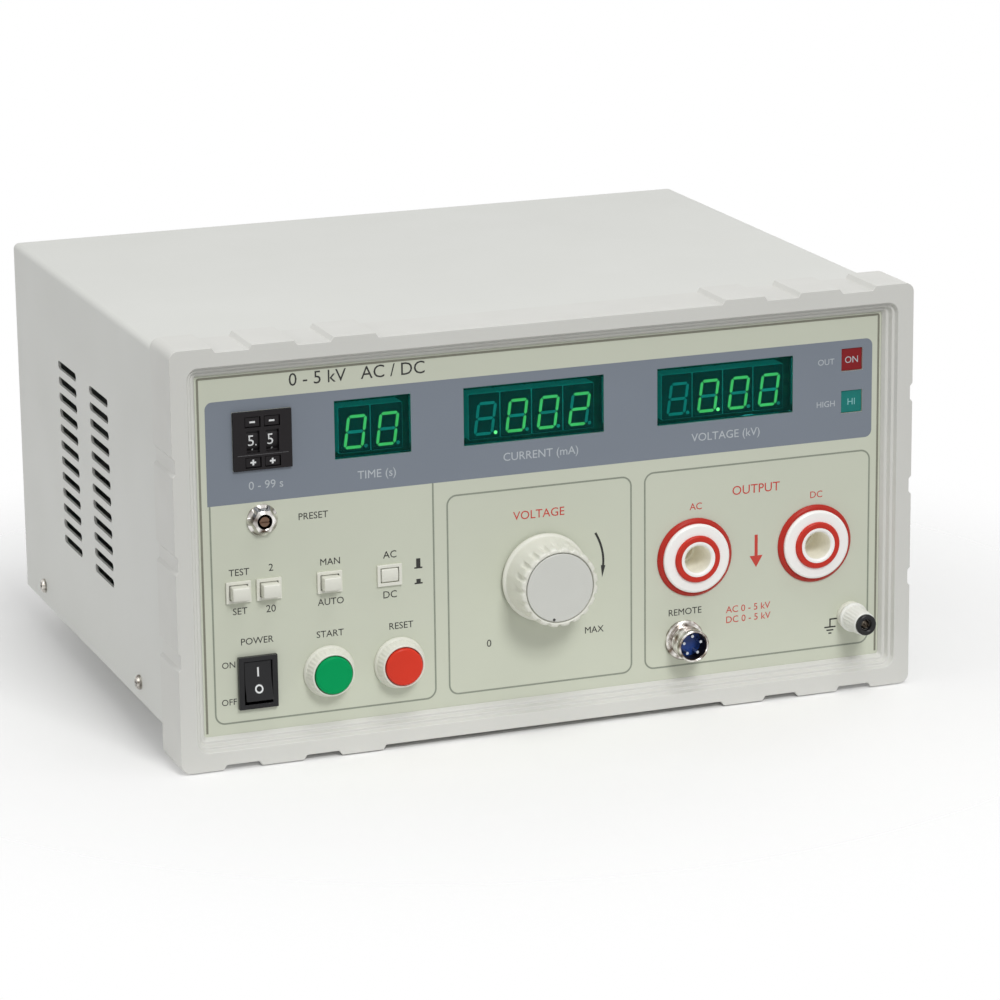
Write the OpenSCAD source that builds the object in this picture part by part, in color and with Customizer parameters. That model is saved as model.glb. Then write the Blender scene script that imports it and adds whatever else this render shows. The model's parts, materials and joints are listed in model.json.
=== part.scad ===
// Bench hipot tester: a folded sheet metal case behind a moulded front bezel. The front panel carries the
// displays, switches, voltage knob, high voltage jacks and earth post. Millimetres, +Z up, front towards -Y.

/* [Case] */
// Width of the front bezel
bezel_w = 320; // [312:1:340]
// Height of the front bezel, from the floor to its top
bezel_h = 173; // [170:1:185]
// Depth of the front bezel
bezel_d = 26.7; // [25:0.1:32]
// Radius of the bezel's outer corners
bezel_corner = 4; // [2:0.5:6]
// Depth from the bezel's front to the cover's rear edge
case_depth = 251; // [245:1:280]
// How far the cover is set in from the bezel's side
case_inset = 2.2; // [1.8:0.1:3]
// How far the cover's top is below the bezel's top
case_drop = 4.7; // [4:0.1:6]
// Height of the case's underside above the floor
case_lift = 11.5; // [9:0.5:13]
// Thickness of the folded sheet metal
sheet_t = 1.2; // [0.8:0.1:1.6]
// Outer radius of the cover's folds
fold_r = 2.6; // [2:0.1:4]
// How far the cover reaches into the bezel
cover_lap = 9; // [6:0.5:11]
// How far the rear panel is set in from the cover's rear edge
rear_recess = 5; // [4.8:0.1:8]
// Width of the folded flanges inside the case
flange_w = 14; // [13:1:20]

/* [Bezel edge and steps] */
// Width of each raised pad along the bezel's top and bottom edges
pad_w = 17.5; // [14:0.5:20]
// Distance from one pad to the next
pad_pitch = 33.7; // [30:0.1:36]
// Depth of the notches between the pads
notch_d = 1.9; // [1:0.1:2.4]
// Run of each notch's sloping end
notch_slope = 1.3; // [0.5:0.1:3]
// Width of the shallow notches in the bezel's sides
side_notch_w = 8; // [5:0.5:12]
// Depth of the shallow notches in the bezel's sides
side_notch_d = 1.1; // [0.5:0.1:1.6]
// Distance between the notches in the bezel's sides
side_notch_pitch = 39.8; // [35:0.1:45]
// Flat rim of the bezel at its left and right
rim_w = 7; // [6:0.1:8]
// Flat rim of the bezel at its top and bottom
rim_h = 7.8; // [7:0.1:9]
// Width of each step down to the panel
step_w = 1.8; // [1.2:0.1:2.2]
// Depth of each step down to the panel
step_d = 2.15; // [1.5:0.05:2.6]
// Sloping part of the outer steps' width
step_slope = 0.7; // [0.4:0.1:1.2]
// Sloping part of the width of the step next to the panel
inner_slope = 1.2; // [0.6:0.1:1.6]
// Corner radius of the panel's window in the bezel
window_corner = 1; // [0.6:0.1:3]

/* [Vents and fixings] */
// Length of a vent slot
slot_l = 29; // [20:0.5:36]
// Height of a vent slot
slot_h = 3.6; // [2:0.1:5]
// Distance from one slot to the one below
slot_pitch = 7.03; // [6:0.01:8]
// Slots in one column
slot_rows = 12; // [6:1:12]
// Height of the top slot
slot_top_z = 129; // [100:1:140]
// Depth of the front column's middle behind the bezel's front
slot_front_y = 115.9; // [100:0.1:125]
// Distance between the two columns of slots
slot_column_pitch = 49.9; // [45:0.1:60]
// Height of the cover's side screws
side_screw_z = 19.5; // [19:0.5:22]
// Depth of the front side screw behind the bezel's front
side_screw_front = 66; // [50:1:90]
// Depth of the rear side screw behind the bezel's front
side_screw_rear = 219; // [150:1:220]
// Radius of the screws' shanks
screw_r = 1.5; // [1.2:0.1:2]
// Radius of the screws' heads
screw_head_r = 3.1; // [2.6:0.1:3.6]
// Height of the screws' heads
screw_head_h = 1.8; // [1.2:0.1:2]
// Length of the screws' shanks
screw_l = 6; // [4:0.5:8]
// Radius of a rear foot at the floor
foot_r = 9; // [7:0.5:12]
// Distance of the rear feet from the case's sides
foot_inset = 38; // [30:1:60]

/* [Front panel] */
// Thickness of the front panel
panel_t = 2; // [1.5:0.1:3]
// How far the panel reaches behind the bezel on each side
panel_lap = 4; // [2.5:0.1:4.5]
// Height of the display windows
window_h = 24; // [22:0.1:26]
// Width of the timer's window
timer_w = 32.2; // [30:0.1:36]
// Width of the current and voltage windows
meter_w = 60.6; // [58:0.1:64]
// Height of the windows' middle below the panel's top
window_down = 26.5; // [24:0.1:30]
// Distance of the timer window's middle from the panel's left edge
timer_in = 72.7; // [70:0.1:75]
// Distance of the current window's middle from the panel's middle, to the left
current_in = 6.1; // [4:0.1:8]
// Distance of the voltage window's middle from the panel's right edge
voltage_in = 69.6; // [66:0.1:70]
// Thickness of a window's rear flange
lens_flange_t = 1; // [0.8:0.1:2]
// How far a window's rear flange reaches past its cut-out
lens_flange_w = 1.6; // [1:0.1:2]
// Width of one digit in a display
digit_w = 13.6; // [12:0.1:14]
// Height of a display's digit block
digit_h = 19; // [16:0.5:21]
// Depth of a display's digit block
digit_d = 8; // [6:0.5:10]
// How far the digit blocks sit below their windows' middle
digit_drop = 1.1; // [0:0.1:1.8]
// Seam between two digit blocks
digit_seam = 0.1; // [0.05:0.05:0.4]
// Thickness of the circuit boards
board_t = 1.6; // [1:0.1:2]
// Height of the display board
display_board_h = 28; // [26:0.5:30]
// Radius of the boards' standoffs
standoff_r = 3; // [2:0.1:3.5]

/* [Thumbwheel switch] */
// Width of the thumbwheel switch's face
thumb_w = 24.2; // [22.5:0.1:26]
// Height of the thumbwheel switch's face
thumb_h = 23.8; // [23.6:0.1:26]
// How far the thumbwheel's face stands out of the panel
thumb_proud = 1.4; // [1:0.1:2]
// How far the thumbwheel's face laps the panel's cut-out
thumb_lap = 0.5; // [0.4:0.1:0.6]
// Depth of the thumbwheel switch behind the panel's front
thumb_d = 26; // [22:0.5:32]
// Distance of the thumbwheel's middle from the panel's left edge
thumb_in = 26.4; // [22:0.1:30]
// Height of the thumbwheel's middle below the panel's top
thumb_down = 27.1; // [24:0.1:30]
// Height of the wheels' axle below the thumbwheel's middle
axle_drop = 0.4; // [0:0.1:0.4]
// Radius of a digit wheel
wheel_r = 9; // [8:0.1:9.2]
// Width of a digit wheel
wheel_w = 5.8; // [5:0.1:6.4]
// Distance between the two digit wheels
wheel_pitch = 8; // [7.5:0.1:8.6]
// Radius of the wheels' axle
axle_r = 1.5; // [1:0.1:2.5]
// Width of a thumbwheel key
key_w = 6; // [5:0.1:6.2]
// Height of a thumbwheel key
key_h = 3.8; // [3:0.1:3.8]
// Height of the upper keys' middle above the wheels' axle
upper_key_up = 8; // [7.9:0.1:8.2]
// Height of the lower keys' middle below the wheels' axle
lower_key_down = 8.4; // [8:0.1:8.6]
// Travel of a thumbwheel key
key_travel = 1.3; // [0.8:0.1:1.3]

/* [Lamps and preset] */
// Side of a square signal lamp's cut-out
lamp_w = 9.6; // [8:0.1:11]
// How far a lamp's face is set below the panel's front
lamp_set = 0.4; // [0.2:0.1:1]
// Distance of the lamps from the panel's right edge
lamp_in = 12.5; // [11:0.1:14]
// Height of the lamps' middle below the panel's top
lamp_down = 27.5; // [24:0.1:30]
// Distance between the two lamps
lamp_pitch = 17.9; // [15:0.1:19]
// Distance of the preset control from the panel's left edge
preset_in = 25.6; // [22:0.1:30]
// Height of the preset control below the panel's top
preset_down = 59.8; // [57:0.1:62]
// Radius of the preset control's shaft
preset_shaft_r = 3; // [2:0.1:3.2]
// Radius of the preset control's threaded bush
preset_bush_r = 4; // [3.7:0.1:4.5]
// Radius of the preset control's nut over its corners
preset_nut_r = 6.4; // [6:0.1:8]
// Height of the preset control's nut
preset_nut_h = 4.2; // [3:0.1:6]
// Radius of the preset control's body
preset_body_r = 8; // [7:0.1:10]

/* [Push buttons] */
// Width of a latching button's frame
latch_w = 10.4; // [10:0.1:11.5]
// Height of a latching button's frame
latch_h = 8.8; // [8.2:0.1:10]
// How far a latching button's frame stands out of the panel
latch_proud = 1.2; // [0.8:0.1:2]
// Width of a latching button's cap
latch_cap_w = 7.2; // [6:0.1:7.4]
// Height of a latching button's cap
latch_cap_h = 5.6; // [4.5:0.1:5.8]
// Travel of a latching button
latch_travel = 4; // [2.5:0.1:5]
// Distance of the first latching button from the panel's left edge
latch_in = 14.9; // [12:0.1:16]
// Pitch of the latching buttons' grid
latch_pitch = 12.7; // [12.2:0.1:13]
// Height of the latching buttons below the panel's top
latch_down = 88.4; // [85:0.1:92]
// Depth of a latching switch behind the panel
latch_d = 22; // [20:0.5:26]
// Distance of the start button from the panel's left edge
start_in = 52; // [50:0.1:53]
// Distance from the start button to the reset button
push_pitch = 29.9; // [28:0.1:31]
// Height of the start and reset buttons above the panel's bottom edge
push_up = 20.9; // [19:0.1:26]
// Radius of a start or reset button's cap
push_cap_r = 7.8; // [6.5:0.1:8]
// How far a start or reset button stands out of the panel
push_proud = 7.8; // [7:0.1:9]
// Travel of a start or reset button
push_travel = 3.5; // [2:0.1:3.5]
// Radius of a start or reset button's collar at the panel
collar_r = 11.2; // [10.8:0.1:12.5]
// Height of a start or reset button's collar
collar_h = 6.6; // [5.5:0.1:6.8]
// Radius of a start or reset button's plunger
plunger_r = 5; // [3:0.1:6]

/* [Mains switch] */
// Width of the rocker switch's frame
rocker_frame_w = 16.3; // [15.5:0.1:18]
// Height of the rocker switch's frame
rocker_frame_h = 21.8; // [21.4:0.1:24]
// How far the rocker switch's frame stands out of the panel
rocker_proud = 2; // [1.5:0.1:3]
// Width of the rocker
rocker_w = 11.2; // [9:0.1:11.6]
// Half the height of the rocker
rocker_reach = 8; // [7:0.1:8.2]
// Tilt of the rocker to each side of its middle, in degrees
rocker_tilt = 9; // [6:0.5:10]
// Distance of the rocker switch from the panel's left edge
rocker_in = 21.9; // [20:0.1:24]
// Height of the rocker switch above the panel's bottom edge
rocker_up = 20.2; // [18:0.1:26]

/* [Voltage control] */
// Distance of the voltage knob from the panel's middle, to the left
knob_in = 2.7; // [0:0.1:6]
// Height of the voltage knob above the panel's bottom edge
knob_up = 50.1; // [48:0.1:58]
// Radius of the knob's skirt
knob_r = 18.5; // [17.6:0.1:22]
// Radius of the knob's grip
knob_grip_r = 17; // [15.8:0.1:17.4]
// How far the knob stands out of the panel
knob_l = 19; // [17:0.1:25]
// Finger flutes around the knob's grip
knob_flutes = 20; // [12:1:28]
// Radius of the knob's round cap
knob_cap_r = 14.3; // [12:0.1:14.6]
// Radius of the control shaft
shaft_r = 4; // [3:0.1:5]
// Outer radius of the variable transformer's winding
winding_r = 44; // [40:0.5:46]
// Inner radius of the variable transformer's winding
winding_hole_r = 20; // [16:0.5:22]
// Depth of the variable transformer's winding
winding_d = 36; // [30:0.5:45]
// Thickness of the winding's copper over the core
copper_t = 4; // [2:0.5:6]
// Distance of the winding behind the panel's front
winding_back = 16; // [12:0.5:22]

/* [High voltage jacks] */
// Distance of the right jack from the panel's right edge
jack_in = 29.1; // [26:0.1:32]
// Room between the left jack's barrel and the variable transformer
jack_room = 12.1; // [8:0.1:16]
// Height of the jacks above the panel's bottom edge
jack_up = 50.8; // [48:0.1:58]
// Radius of a jack's outer flange
jack_r = 16.7; // [16:0.1:18]
// Radius of a jack's white insulator
jack_disc_r = 14.6; // [14:0.1:15.4]
// Radius of a jack's inner ring
jack_ring_r = 10; // [9:0.1:11]
// Radius of a jack's bore
jack_bore_r = 5.8; // [5:0.1:6.2]
// Thickness of a jack's outer flange
jack_flange_t = 1.5; // [1:0.1:2.5]
// Thickness of a jack's insulator disc
jack_disc_t = 1.8; // [1.2:0.1:3]
// Thickness of a jack's inner ring
jack_ring_t = 1.3; // [0.8:0.1:2]
// Depth of a jack's wide bore behind the panel's front
jack_bore_d = 13; // [10:0.5:16]
// Length of a jack's barrel behind the panel's front
jack_barrel_l = 26; // [24:0.5:34]

/* [Remote connector and earth post] */
// Distance of the remote connector from the panel's right edge
plug_in = 88.1; // [84:0.1:90]
// Height of the remote connector above the panel's bottom edge
plug_up = 15.7; // [14:0.1:19]
// Radius of the remote connector's flange
plug_flange_r = 8.5; // [7.6:0.1:10]
// Radius of the remote connector's barrel
plug_r = 6.8; // [6.5:0.1:7.2]
// Wall of the remote connector's barrel
plug_wall = 1.1; // [0.8:0.1:1.2]
// How far the remote connector stands out of the panel
plug_proud = 11.2; // [10:0.1:14]
// Radius of the circle of connector pins
plug_pin_circle = 3.9; // [3.8:0.1:4.2]
// Radius of a connector pin
plug_pin_r = 0.6; // [0.4:0.05:0.6]
// Number of connector pins
plug_pins = 5; // [3:1:7]
// Distance of the earth post from the panel's right edge
post_in = 12.3; // [11:0.1:15]
// Height of the earth post above the panel's bottom edge
post_up = 17.6; // [14:0.1:22]
// Radius of the earth post's threaded stud
post_r = 3; // [2.7:0.1:3.4]
// Radius of the earth post's socket
post_bore_r = 2; // [1.5:0.05:2.2]
// Depth of the earth post's socket
post_bore_d = 12; // [8:0.5:13]
// Radius of the earth post's base collar
post_collar_r = 6; // [5.5:0.1:7]
// Height of the earth post's base collar
post_collar_h = 2.2; // [1.5:0.1:3]
// Length of the earth post's nut
post_nut_l = 11.9; // [10:0.1:13]
// Radius of the earth post's nut at its foot
post_nut_r = 6; // [5.5:0.1:6.4]
// Radius of the nut's black tip
post_tip_r = 4.5; // [4.2:0.1:4.7]
// Height of the nut's black tip
post_tip_h = 1.8; // [1:0.1:3]

/* [Mains inlet] */
// Distance of the mains inlet's middle from the case's left side
inlet_in = 53.8; // [45:0.1:66]
// Height of the mains inlet above the floor
inlet_z = 58; // [50:1:80]
// Width of the inlet's flange past the middle of each screw
inlet_ear = 4; // [3.5:0.1:6]
// Height of the inlet's flange
inlet_h = 38; // [36.5:0.5:42]
// Thickness of the inlet's flange
inlet_t = 2.8; // [2:0.1:2.9]
// Distance between the inlet's screws
inlet_screw_pitch = 40; // [39:0.5:41]
// Depth of the inlet's body inside the case
inlet_d = 26; // [24:0.5:30]
// Width of the fuse drawer
drawer_w = 24; // [18:0.5:26]
// Height of the fuse drawer
drawer_h = 8; // [7.5:0.1:9]
// Length of the fuse drawer
drawer_l = 19; // [17:0.5:21]

/* [Transformer and control board] */
// Width of the high voltage transformer's core
core_w = 84; // [76:1:90]
// Height of the high voltage transformer's core
core_h = 70; // [60:1:80]
// Stack of the high voltage transformer's core
core_d = 45; // [36:1:55]
// Width of the core's outer legs
leg_w = 14; // [10:0.5:16]
// Overhang of the coil at the core's front and back
coil_out = 13; // [8:0.5:18]
// Width of the control board
control_w = 84; // [70:1:90]
// Depth of the control board
control_d = 120; // [100:1:126]
// Height of the control board above the base
control_up = 8; // [5:0.5:12]

/* [Hidden] */

$fn = 48;
// Room between fixed pieces that drop into each other
fit_gap = 0.2;
// Room between folded sheets that lie together
fold_gap = 0.05;
// Room around pieces that slide
slide_gap = 0.3;
// Radial clearance of a shaft that turns in its hole
run_gap = 0.05;
// How far a cutting shape runs past a face
past = 1;

// The bezel's front plane, with the knob's front and the cover's rear edge evenly about Y = 0
steps = 3;
panel_set = steps * step_d;
front_y = (knob_l - panel_set - case_depth) / 2;
panel_y = front_y + panel_set;
window_size = [bezel_w - 2 * (rim_w + steps * step_w), bezel_h - 2 * (rim_h + steps * step_w)];
panel_size = window_size + [2 * panel_lap, 2 * panel_lap];
mid_z = bezel_h / 2;
left_x = -window_size.x / 2;
right_x = window_size.x / 2;
bottom_z = mid_z - window_size.y / 2;
top_z = mid_z + window_size.y / 2;

// The case
case_w = bezel_w - 2 * case_inset;
case_top = bezel_h - case_drop;
cover_front = bezel_d - cover_lap;
inner_x = case_w / 2 - sheet_t - fold_gap;
rear_out = case_depth - rear_recess;
rear_in = rear_out - sheet_t;
base_top = case_lift + sheet_t;
screw_hole_r = screw_r + 0.15;
pads = 3;
side_notches = 3;
floor_slots = 7;
floor_slot_in = 60;
foot_depth = rear_in - flange_w - foot_r;
foot_x = case_w / 2 - foot_inset;
foot_recess = [4.2, 4];
rear_screw_in = flange_w / 2;
rear_screw_drop = 20;
rear_screw_top = case_top - rear_screw_drop;
rear_screw_low = base_top + flange_w / 2;

// Places on the panel, as x and z
thumb_at = [left_x + thumb_in, top_z - thumb_down];
axle_at = thumb_at - [0, axle_drop];
timer_at = [left_x + timer_in, top_z - window_down];
current_at = [-current_in, top_z - window_down];
voltage_at = [right_x - voltage_in, top_z - window_down];
output_lamp_at = [right_x - lamp_in, top_z - lamp_down + lamp_pitch / 2];
limit_lamp_at = [right_x - lamp_in, top_z - lamp_down - lamp_pitch / 2];
preset_at = [left_x + preset_in, top_z - preset_down];
latch_z = top_z - latch_down;
latch_columns = [0, 1, 3, 5];
latch_at = [for (column = latch_columns) [left_x + latch_in + column * latch_pitch, latch_z]];
rocker_at = [left_x + rocker_in, bottom_z + rocker_up];
start_at = [left_x + start_in, bottom_z + push_up];
reset_at = start_at + [push_pitch, 0];
knob_at = [-knob_in, bottom_z + knob_up];
jack_barrel_r = jack_ring_r + 0.8;
left_jack_x = knob_at.x + winding_r + jack_room + jack_barrel_r;
jack_at = [for (x = [left_jack_x, right_x - jack_in]) [x, bottom_z + jack_up]];
plug_at = [right_x - plug_in, bottom_z + plug_up];
post_at = [right_x - post_in, bottom_z + post_up];

// Display windows as place and size
windows = [[timer_at, timer_w, 2], [current_at, meter_w, 4], [voltage_at, meter_w, 4]];
lens_proud = 0.1;
digit_gap = 0.2;
digit_front = -panel_t - lens_flange_t - digit_gap;
board_front = digit_front - digit_d;
edge_standoff = timer_w / 2 + lens_flange_w + standoff_r + 2;
standoff_x = [timer_at.x - edge_standoff, (timer_at.x + timer_w / 2 + current_at.x - meter_w / 2) / 2,
    (current_at.x + voltage_at.x) / 2, voltage_at.x + meter_w / 2 + lens_flange_w + standoff_r + 2];

// Thumbwheel switch
thumb_body = [thumb_w - 2 * thumb_lap, thumb_h - 2 * thumb_lap];
wheel_set = 1.2;
wheel_z = thumb_proud - wheel_set - wheel_r;
digit_window = [wheel_w - 0.4, wheel_r];
key_set = 0.5;
key_plate_t = 1;
key_stem = [key_w - 1.2, 1.6, 2.4];

// Latching buttons
latch_hole = [latch_cap_w + 2 * slide_gap, latch_cap_h + 2 * slide_gap];
latch_body = [latch_w - 0.8, latch_h - 0.8];
latch_cap_out = latch_proud + latch_travel + 0.3;
latch_cap_l = 15;
latch_well = latch_cap_l - latch_cap_out + latch_travel + slide_gap;
latch_crown_r = 9;

// Start and reset buttons
collar_bore_r = push_cap_r + slide_gap;
collar_flange_t = 1.5;
collar_front_r = collar_bore_r + 1;
collar_tube_r = collar_bore_r + 1.2;
collar_tube_behind = 6;
collar_tube_l = panel_t + collar_tube_behind;
collar_flutes = 24;
push_head_t = 5.3;
push_body_r = collar_tube_r + 2;
push_body_l = 24;
plunger_l = 12;

// Rocker switch
rocker_hole = [rocker_w + 2 * slide_gap, 2 * rocker_reach + 1.9];
rocker_body = [rocker_frame_w - 2.7, rocker_frame_h - 2.2];
rocker_pivot = -2;
rocker_body_d = 16;
rocker_ends = 4.4;
rocker_dip = 3.5;
rocker_keel = [3, -4.6];
rocker_side = 1;
rocker_well = 7.5;
trunnion_r = 1.2;
trunnion_l = 0.9;

// Voltage control, from the panel's front: the winding, its bracket and the brush arm
winding_front = -winding_back;
winding_rear = winding_front - winding_d;
bracket_t = 2;
bracket_r = 30;
pillar_r = 3;
pillar_circle = 24;
arm_gap = 0.3;
arm_front = winding_rear - 4;
arm_t = 3;
arm_w = 10;
arm_hub_r = shaft_r + 4;
brush_circle = (winding_r + winding_hole_r) / 2;
brush_size = [8, 6];
shaft_rear = arm_front - arm_t - 2;
knob_lift = 0.8;
knob_skirt_l = 7;
flute_r = 1.5;
knob_cap_t = 1.6;
knob_ring_gap = 0.3;
knob_hole_room = 9;
knob_hole_r = shaft_r + knob_hole_room;

// Signal lamps and preset control
lamp_plug = lamp_w - 2 * fit_gap;
lamp_flange = lamp_w + 1.6;
lamp_body_l = 10;
preset_body_l = 12;
preset_well = 9;

// Jacks: the insulator's boss stands inside the inner ring, flush with it
jack_disc_z = jack_flange_t + jack_disc_t;
jack_front = jack_disc_z + jack_ring_t;
jack_seat_r = jack_disc_r - 1.4;
jack_boss_r = jack_ring_r - 2.5;
jack_mouth = 0.7;
jack_deep_r = jack_bore_r - 1;
jack_deep_d = jack_barrel_l - 4;
contact_r = 2;
contact_tip = -jack_bore_d - 1;
contact_tail = 5;

// Remote connector
plug_bore_r = plug_r - plug_wall;
plug_flange_t = 1.8;
plug_body_r = plug_r - 0.6;
plug_tail = 12;
insert_set = 6.5;
insert_face = plug_proud - insert_set;
pin_reach = 4.5;

// Earth post, from the panel's front
shoulder_r = post_r + 1;
washer_t = 0.8;
washer_z = post_collar_h + slide_gap;
post_nut_z = washer_z + washer_t + 0.05;
post_end = post_nut_z + post_nut_l - 0.2;
post_tail = 12;
nut_foot_h = 1.6;
nut_foot_r = post_nut_r + 0.3;
nut_top_r = post_tip_r + 0.3;

// Mains inlet, about the middle of its flange
inlet_x = inlet_in - case_w / 2;
inlet_w = inlet_screw_pitch + 2 * inlet_ear;
inlet_body = [31, 34];
inlet_hole = [25, 17];
inlet_chamfer = 4.6;
inlet_socket_up = 6.5;
inlet_socket_d = 17;
drawer_down = 10.6;
drawer_front = inlet_t + 1.2;
blade = [2, 4, 14];
blade_x = 7;
blade_up = 3;
fuse_r = 2.6;
fuse_l = 14;

// Transformer and control board inside the case
core_room = 19;
core_x = inner_x - flange_w - core_room - core_w / 2;
core_depth = 150;
leg_gap = 0.3;
yoke_h = leg_w;
control_room = 4;
control_gap = 25;
control_x = -inner_x + flange_w + control_w / 2 + control_room;
control_front = winding_back + panel_set + winding_d + control_gap;
standoff_in = 6;
relay = [20, 15, 16];
relay_at = [6, 16];
relay_pitch = relay.y + 4;
terminal = [44, 10, 12];
terminal_in = 4;
capacitor_r = 9;
capacitor_h = 30;
capacitor_at = [16, 26];
capacitor_pitch = 26;

cream = "#dcdcd2";
case_grey = "#d3d4cf";
panel_green = "#c4c8b4";
steel = "#b9bcbe";
brass = "#c8a04a";
black = "#232326";
red = "#c83a28";
board_green = "#1f6b45";
copper = "#b4683a";

// A shape drawn in x and z, from one depth behind the bezel's front plane to another
module slab(near, far) {
    translate([0, front_y + far, 0])
        rotate([90, 0, 0])
            linear_extrude(far - near) children();
}

// A place on the panel's front face, with x to the right, y up and z out of the panel
module on_panel(at) {
    translate([at.x, panel_y, at.y])
        rotate([90, 0, 0]) children();
}

// A place on the rear panel's outer face, with y up and z out of the panel
module on_rear(x, z) {
    translate([x, front_y + rear_out, z])
        rotate([90, 0, 180]) children();
}

// A block on the panel: its width and height, from one height above the face to another
module block(size, low, high) {
    translate([0, 0, low])
        linear_extrude(high - low) square(size, center = true);
}

// A disc on the panel, from one height above the face to another
module disc(r, low, high) {
    translate([0, 0, low]) cylinder(h = high - low, r = r);
}

// A rectangle with round corners
module rounded(size, r) {
    square([size.x - 2 * r, size.y], center = true);
    square([size.x, size.y - 2 * r], center = true);
    for (sx = [-1, 1], sy = [-1, 1])
        translate([sx * (size.x / 2 - r), sy * (size.y / 2 - r)]) circle(r);
}

// A notch in an edge that runs along x, from one place to another
module edge_notch(from, to, depth) {
    polygon([[from, past], [from, 0], [from + notch_slope, -depth], [to - notch_slope, -depth],
        [to, 0], [to, past]]);
}

module bezel_outline() {
    half = bezel_w / 2;
    difference() {
        rounded([bezel_w, bezel_h], bezel_corner);
        for (flip = [0, 1])
            mirror([0, flip, 0])
                translate([0, bezel_h / 2]) {
                    reach = half - (pads - 1) * pad_pitch - pad_w;
                    edge_notch(-reach, reach, notch_d);
                    for (side = [0, 1], k = [1:pads - 1])
                        mirror([side, 0, 0])
                            edge_notch(half - k * pad_pitch, half - (k - 1) * pad_pitch - pad_w, notch_d);
                }
        for (side = [-1, 1], k = [0:side_notches - 1])
            translate([side * half, (k - (side_notches - 1) / 2) * side_notch_pitch])
                rotate(side * -90)
                    edge_notch(-side_notch_w / 2, side_notch_w / 2, side_notch_d);
    }
}

// One sloping step of the bezel's frame, counted from the panel; the last one runs out past the front
module step_cut(k) {
    slope = k == 0 ? inner_slope : step_slope;
    depth = k < steps - 1 ? step_d : step_d + past;
    flare = slope * depth / step_d;
    narrow = window_size + 2 * ((k + 1) * step_w - slope) * [1, 1];
    wide = narrow + 2 * [flare, flare];
    far = (steps - k) * step_d;
    translate([0, front_y + far, mid_z])
        rotate([90, 0, 0])
            linear_extrude(depth, scale = [wide.x / narrow.x, wide.y / narrow.y], slices = 1)
                rounded(narrow, window_corner + k * step_w, $fn = 16 + 8 * k);
}

module front_bezel() {
    color(case_grey) difference() {
        slab(0, bezel_d)
            translate([0, mid_z]) bezel_outline();
        for (k = [0:steps - 1]) step_cut(k);
        slab(panel_set - step_d / 2, panel_set + past)
            translate([0, mid_z]) rounded(window_size, window_corner);
        slab(panel_set, cover_front + past)
            translate([0, mid_z]) square(panel_size + 2 * [fit_gap, fit_gap], center = true);
        slab(cover_front, bezel_d + past)
            translate([0, (case_lift + case_top) / 2])
                square([case_w + 2 * fit_gap, case_top - case_lift + 2 * fit_gap], center = true);
    }
}

// Everything that is cut through the front panel
module panel_holes() {
    translate(thumb_at) square(thumb_body + 2 * [fit_gap, fit_gap], center = true);
    for (window = windows)
        translate(window[0]) square([window[1], window_h], center = true);
    for (at = [output_lamp_at, limit_lamp_at])
        translate(at) square([lamp_w, lamp_w], center = true);
    translate(preset_at) circle(preset_bush_r + fit_gap);
    for (at = latch_at)
        translate(at) square(latch_body + 2 * [fit_gap, fit_gap], center = true);
    translate(rocker_at) square(rocker_body + 2 * [fit_gap, fit_gap], center = true);
    for (at = [start_at, reset_at])
        translate(at) circle(collar_tube_r + fit_gap);
    translate(knob_at) circle(knob_hole_r);
    for (at = jack_at)
        translate(at) circle(jack_barrel_r + fit_gap);
    translate(plug_at) circle(plug_body_r + fit_gap);
    translate(post_at) circle(shoulder_r + fit_gap);
}

module front_panel() {
    color(panel_green)
        slab(panel_set, panel_set + panel_t) difference() {
            translate([0, mid_z]) square(panel_size, center = true);
            panel_holes();
        }
}

// A rectangle that stands on y = 0 with its two top corners bent round
module bent(w, h, r) {
    translate([-w / 2, 0]) square([w, h - r]);
    translate([-w / 2 + r, h - 2 * r]) square([w - 2 * r, 2 * r]);
    for (side = [-1, 1])
        translate([side * (w / 2 - r), h - r]) circle(r);
}

// Slots and screw holes through both of the cover's sides
module side_cuts() {
    for (column = [0, 1], row = [0:slot_rows - 1])
        translate([
            -case_w,
            front_y + slot_front_y + column * slot_column_pitch,
            slot_top_z - row * slot_pitch
        ])
            rotate([90, 0, 90])
                linear_extrude(2 * case_w) {
                    square([slot_l - slot_h, slot_h], center = true);
                    for (end = [-1, 1])
                        translate([end * (slot_l - slot_h) / 2, 0]) circle(slot_h / 2, $fn = 24);
                }
    side_screw_holes();
}

module side_screw_holes() {
    for (depth = [side_screw_front, side_screw_rear])
        translate([-case_w, front_y + depth, side_screw_z])
            rotate([0, 90, 0]) cylinder(h = 2 * case_w, r = screw_hole_r);
}

// Screw holes through the rear panel and the flanges behind it
module rear_screw_holes() {
    for (side = [-1, 1], z = [rear_screw_low, rear_screw_top])
        on_rear(side * (inner_x - rear_screw_in), z) disc(screw_hole_r, -4 * sheet_t, past);
}

module top_cover() {
    color(case_grey) difference() {
        union() {
            slab(cover_front, case_depth)
                translate([0, case_lift]) difference() {
                    bent(case_w, case_top - case_lift, fold_r);
                    translate([0, -past])
                        bent(case_w - 2 * sheet_t, case_top - case_lift - sheet_t + past, fold_r - sheet_t);
                }
            for (side = [-1, 1])
                slab(rear_in - sheet_t, rear_in)
                    translate([
                        side * (case_w / 2 - sheet_t / 2 - flange_w / 2),
                        rear_screw_top - flange_w / 2
                    ])
                        square([flange_w, 2 * flange_w], center = true);
        }
        side_cuts();
        rear_screw_holes();
    }
}

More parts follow.
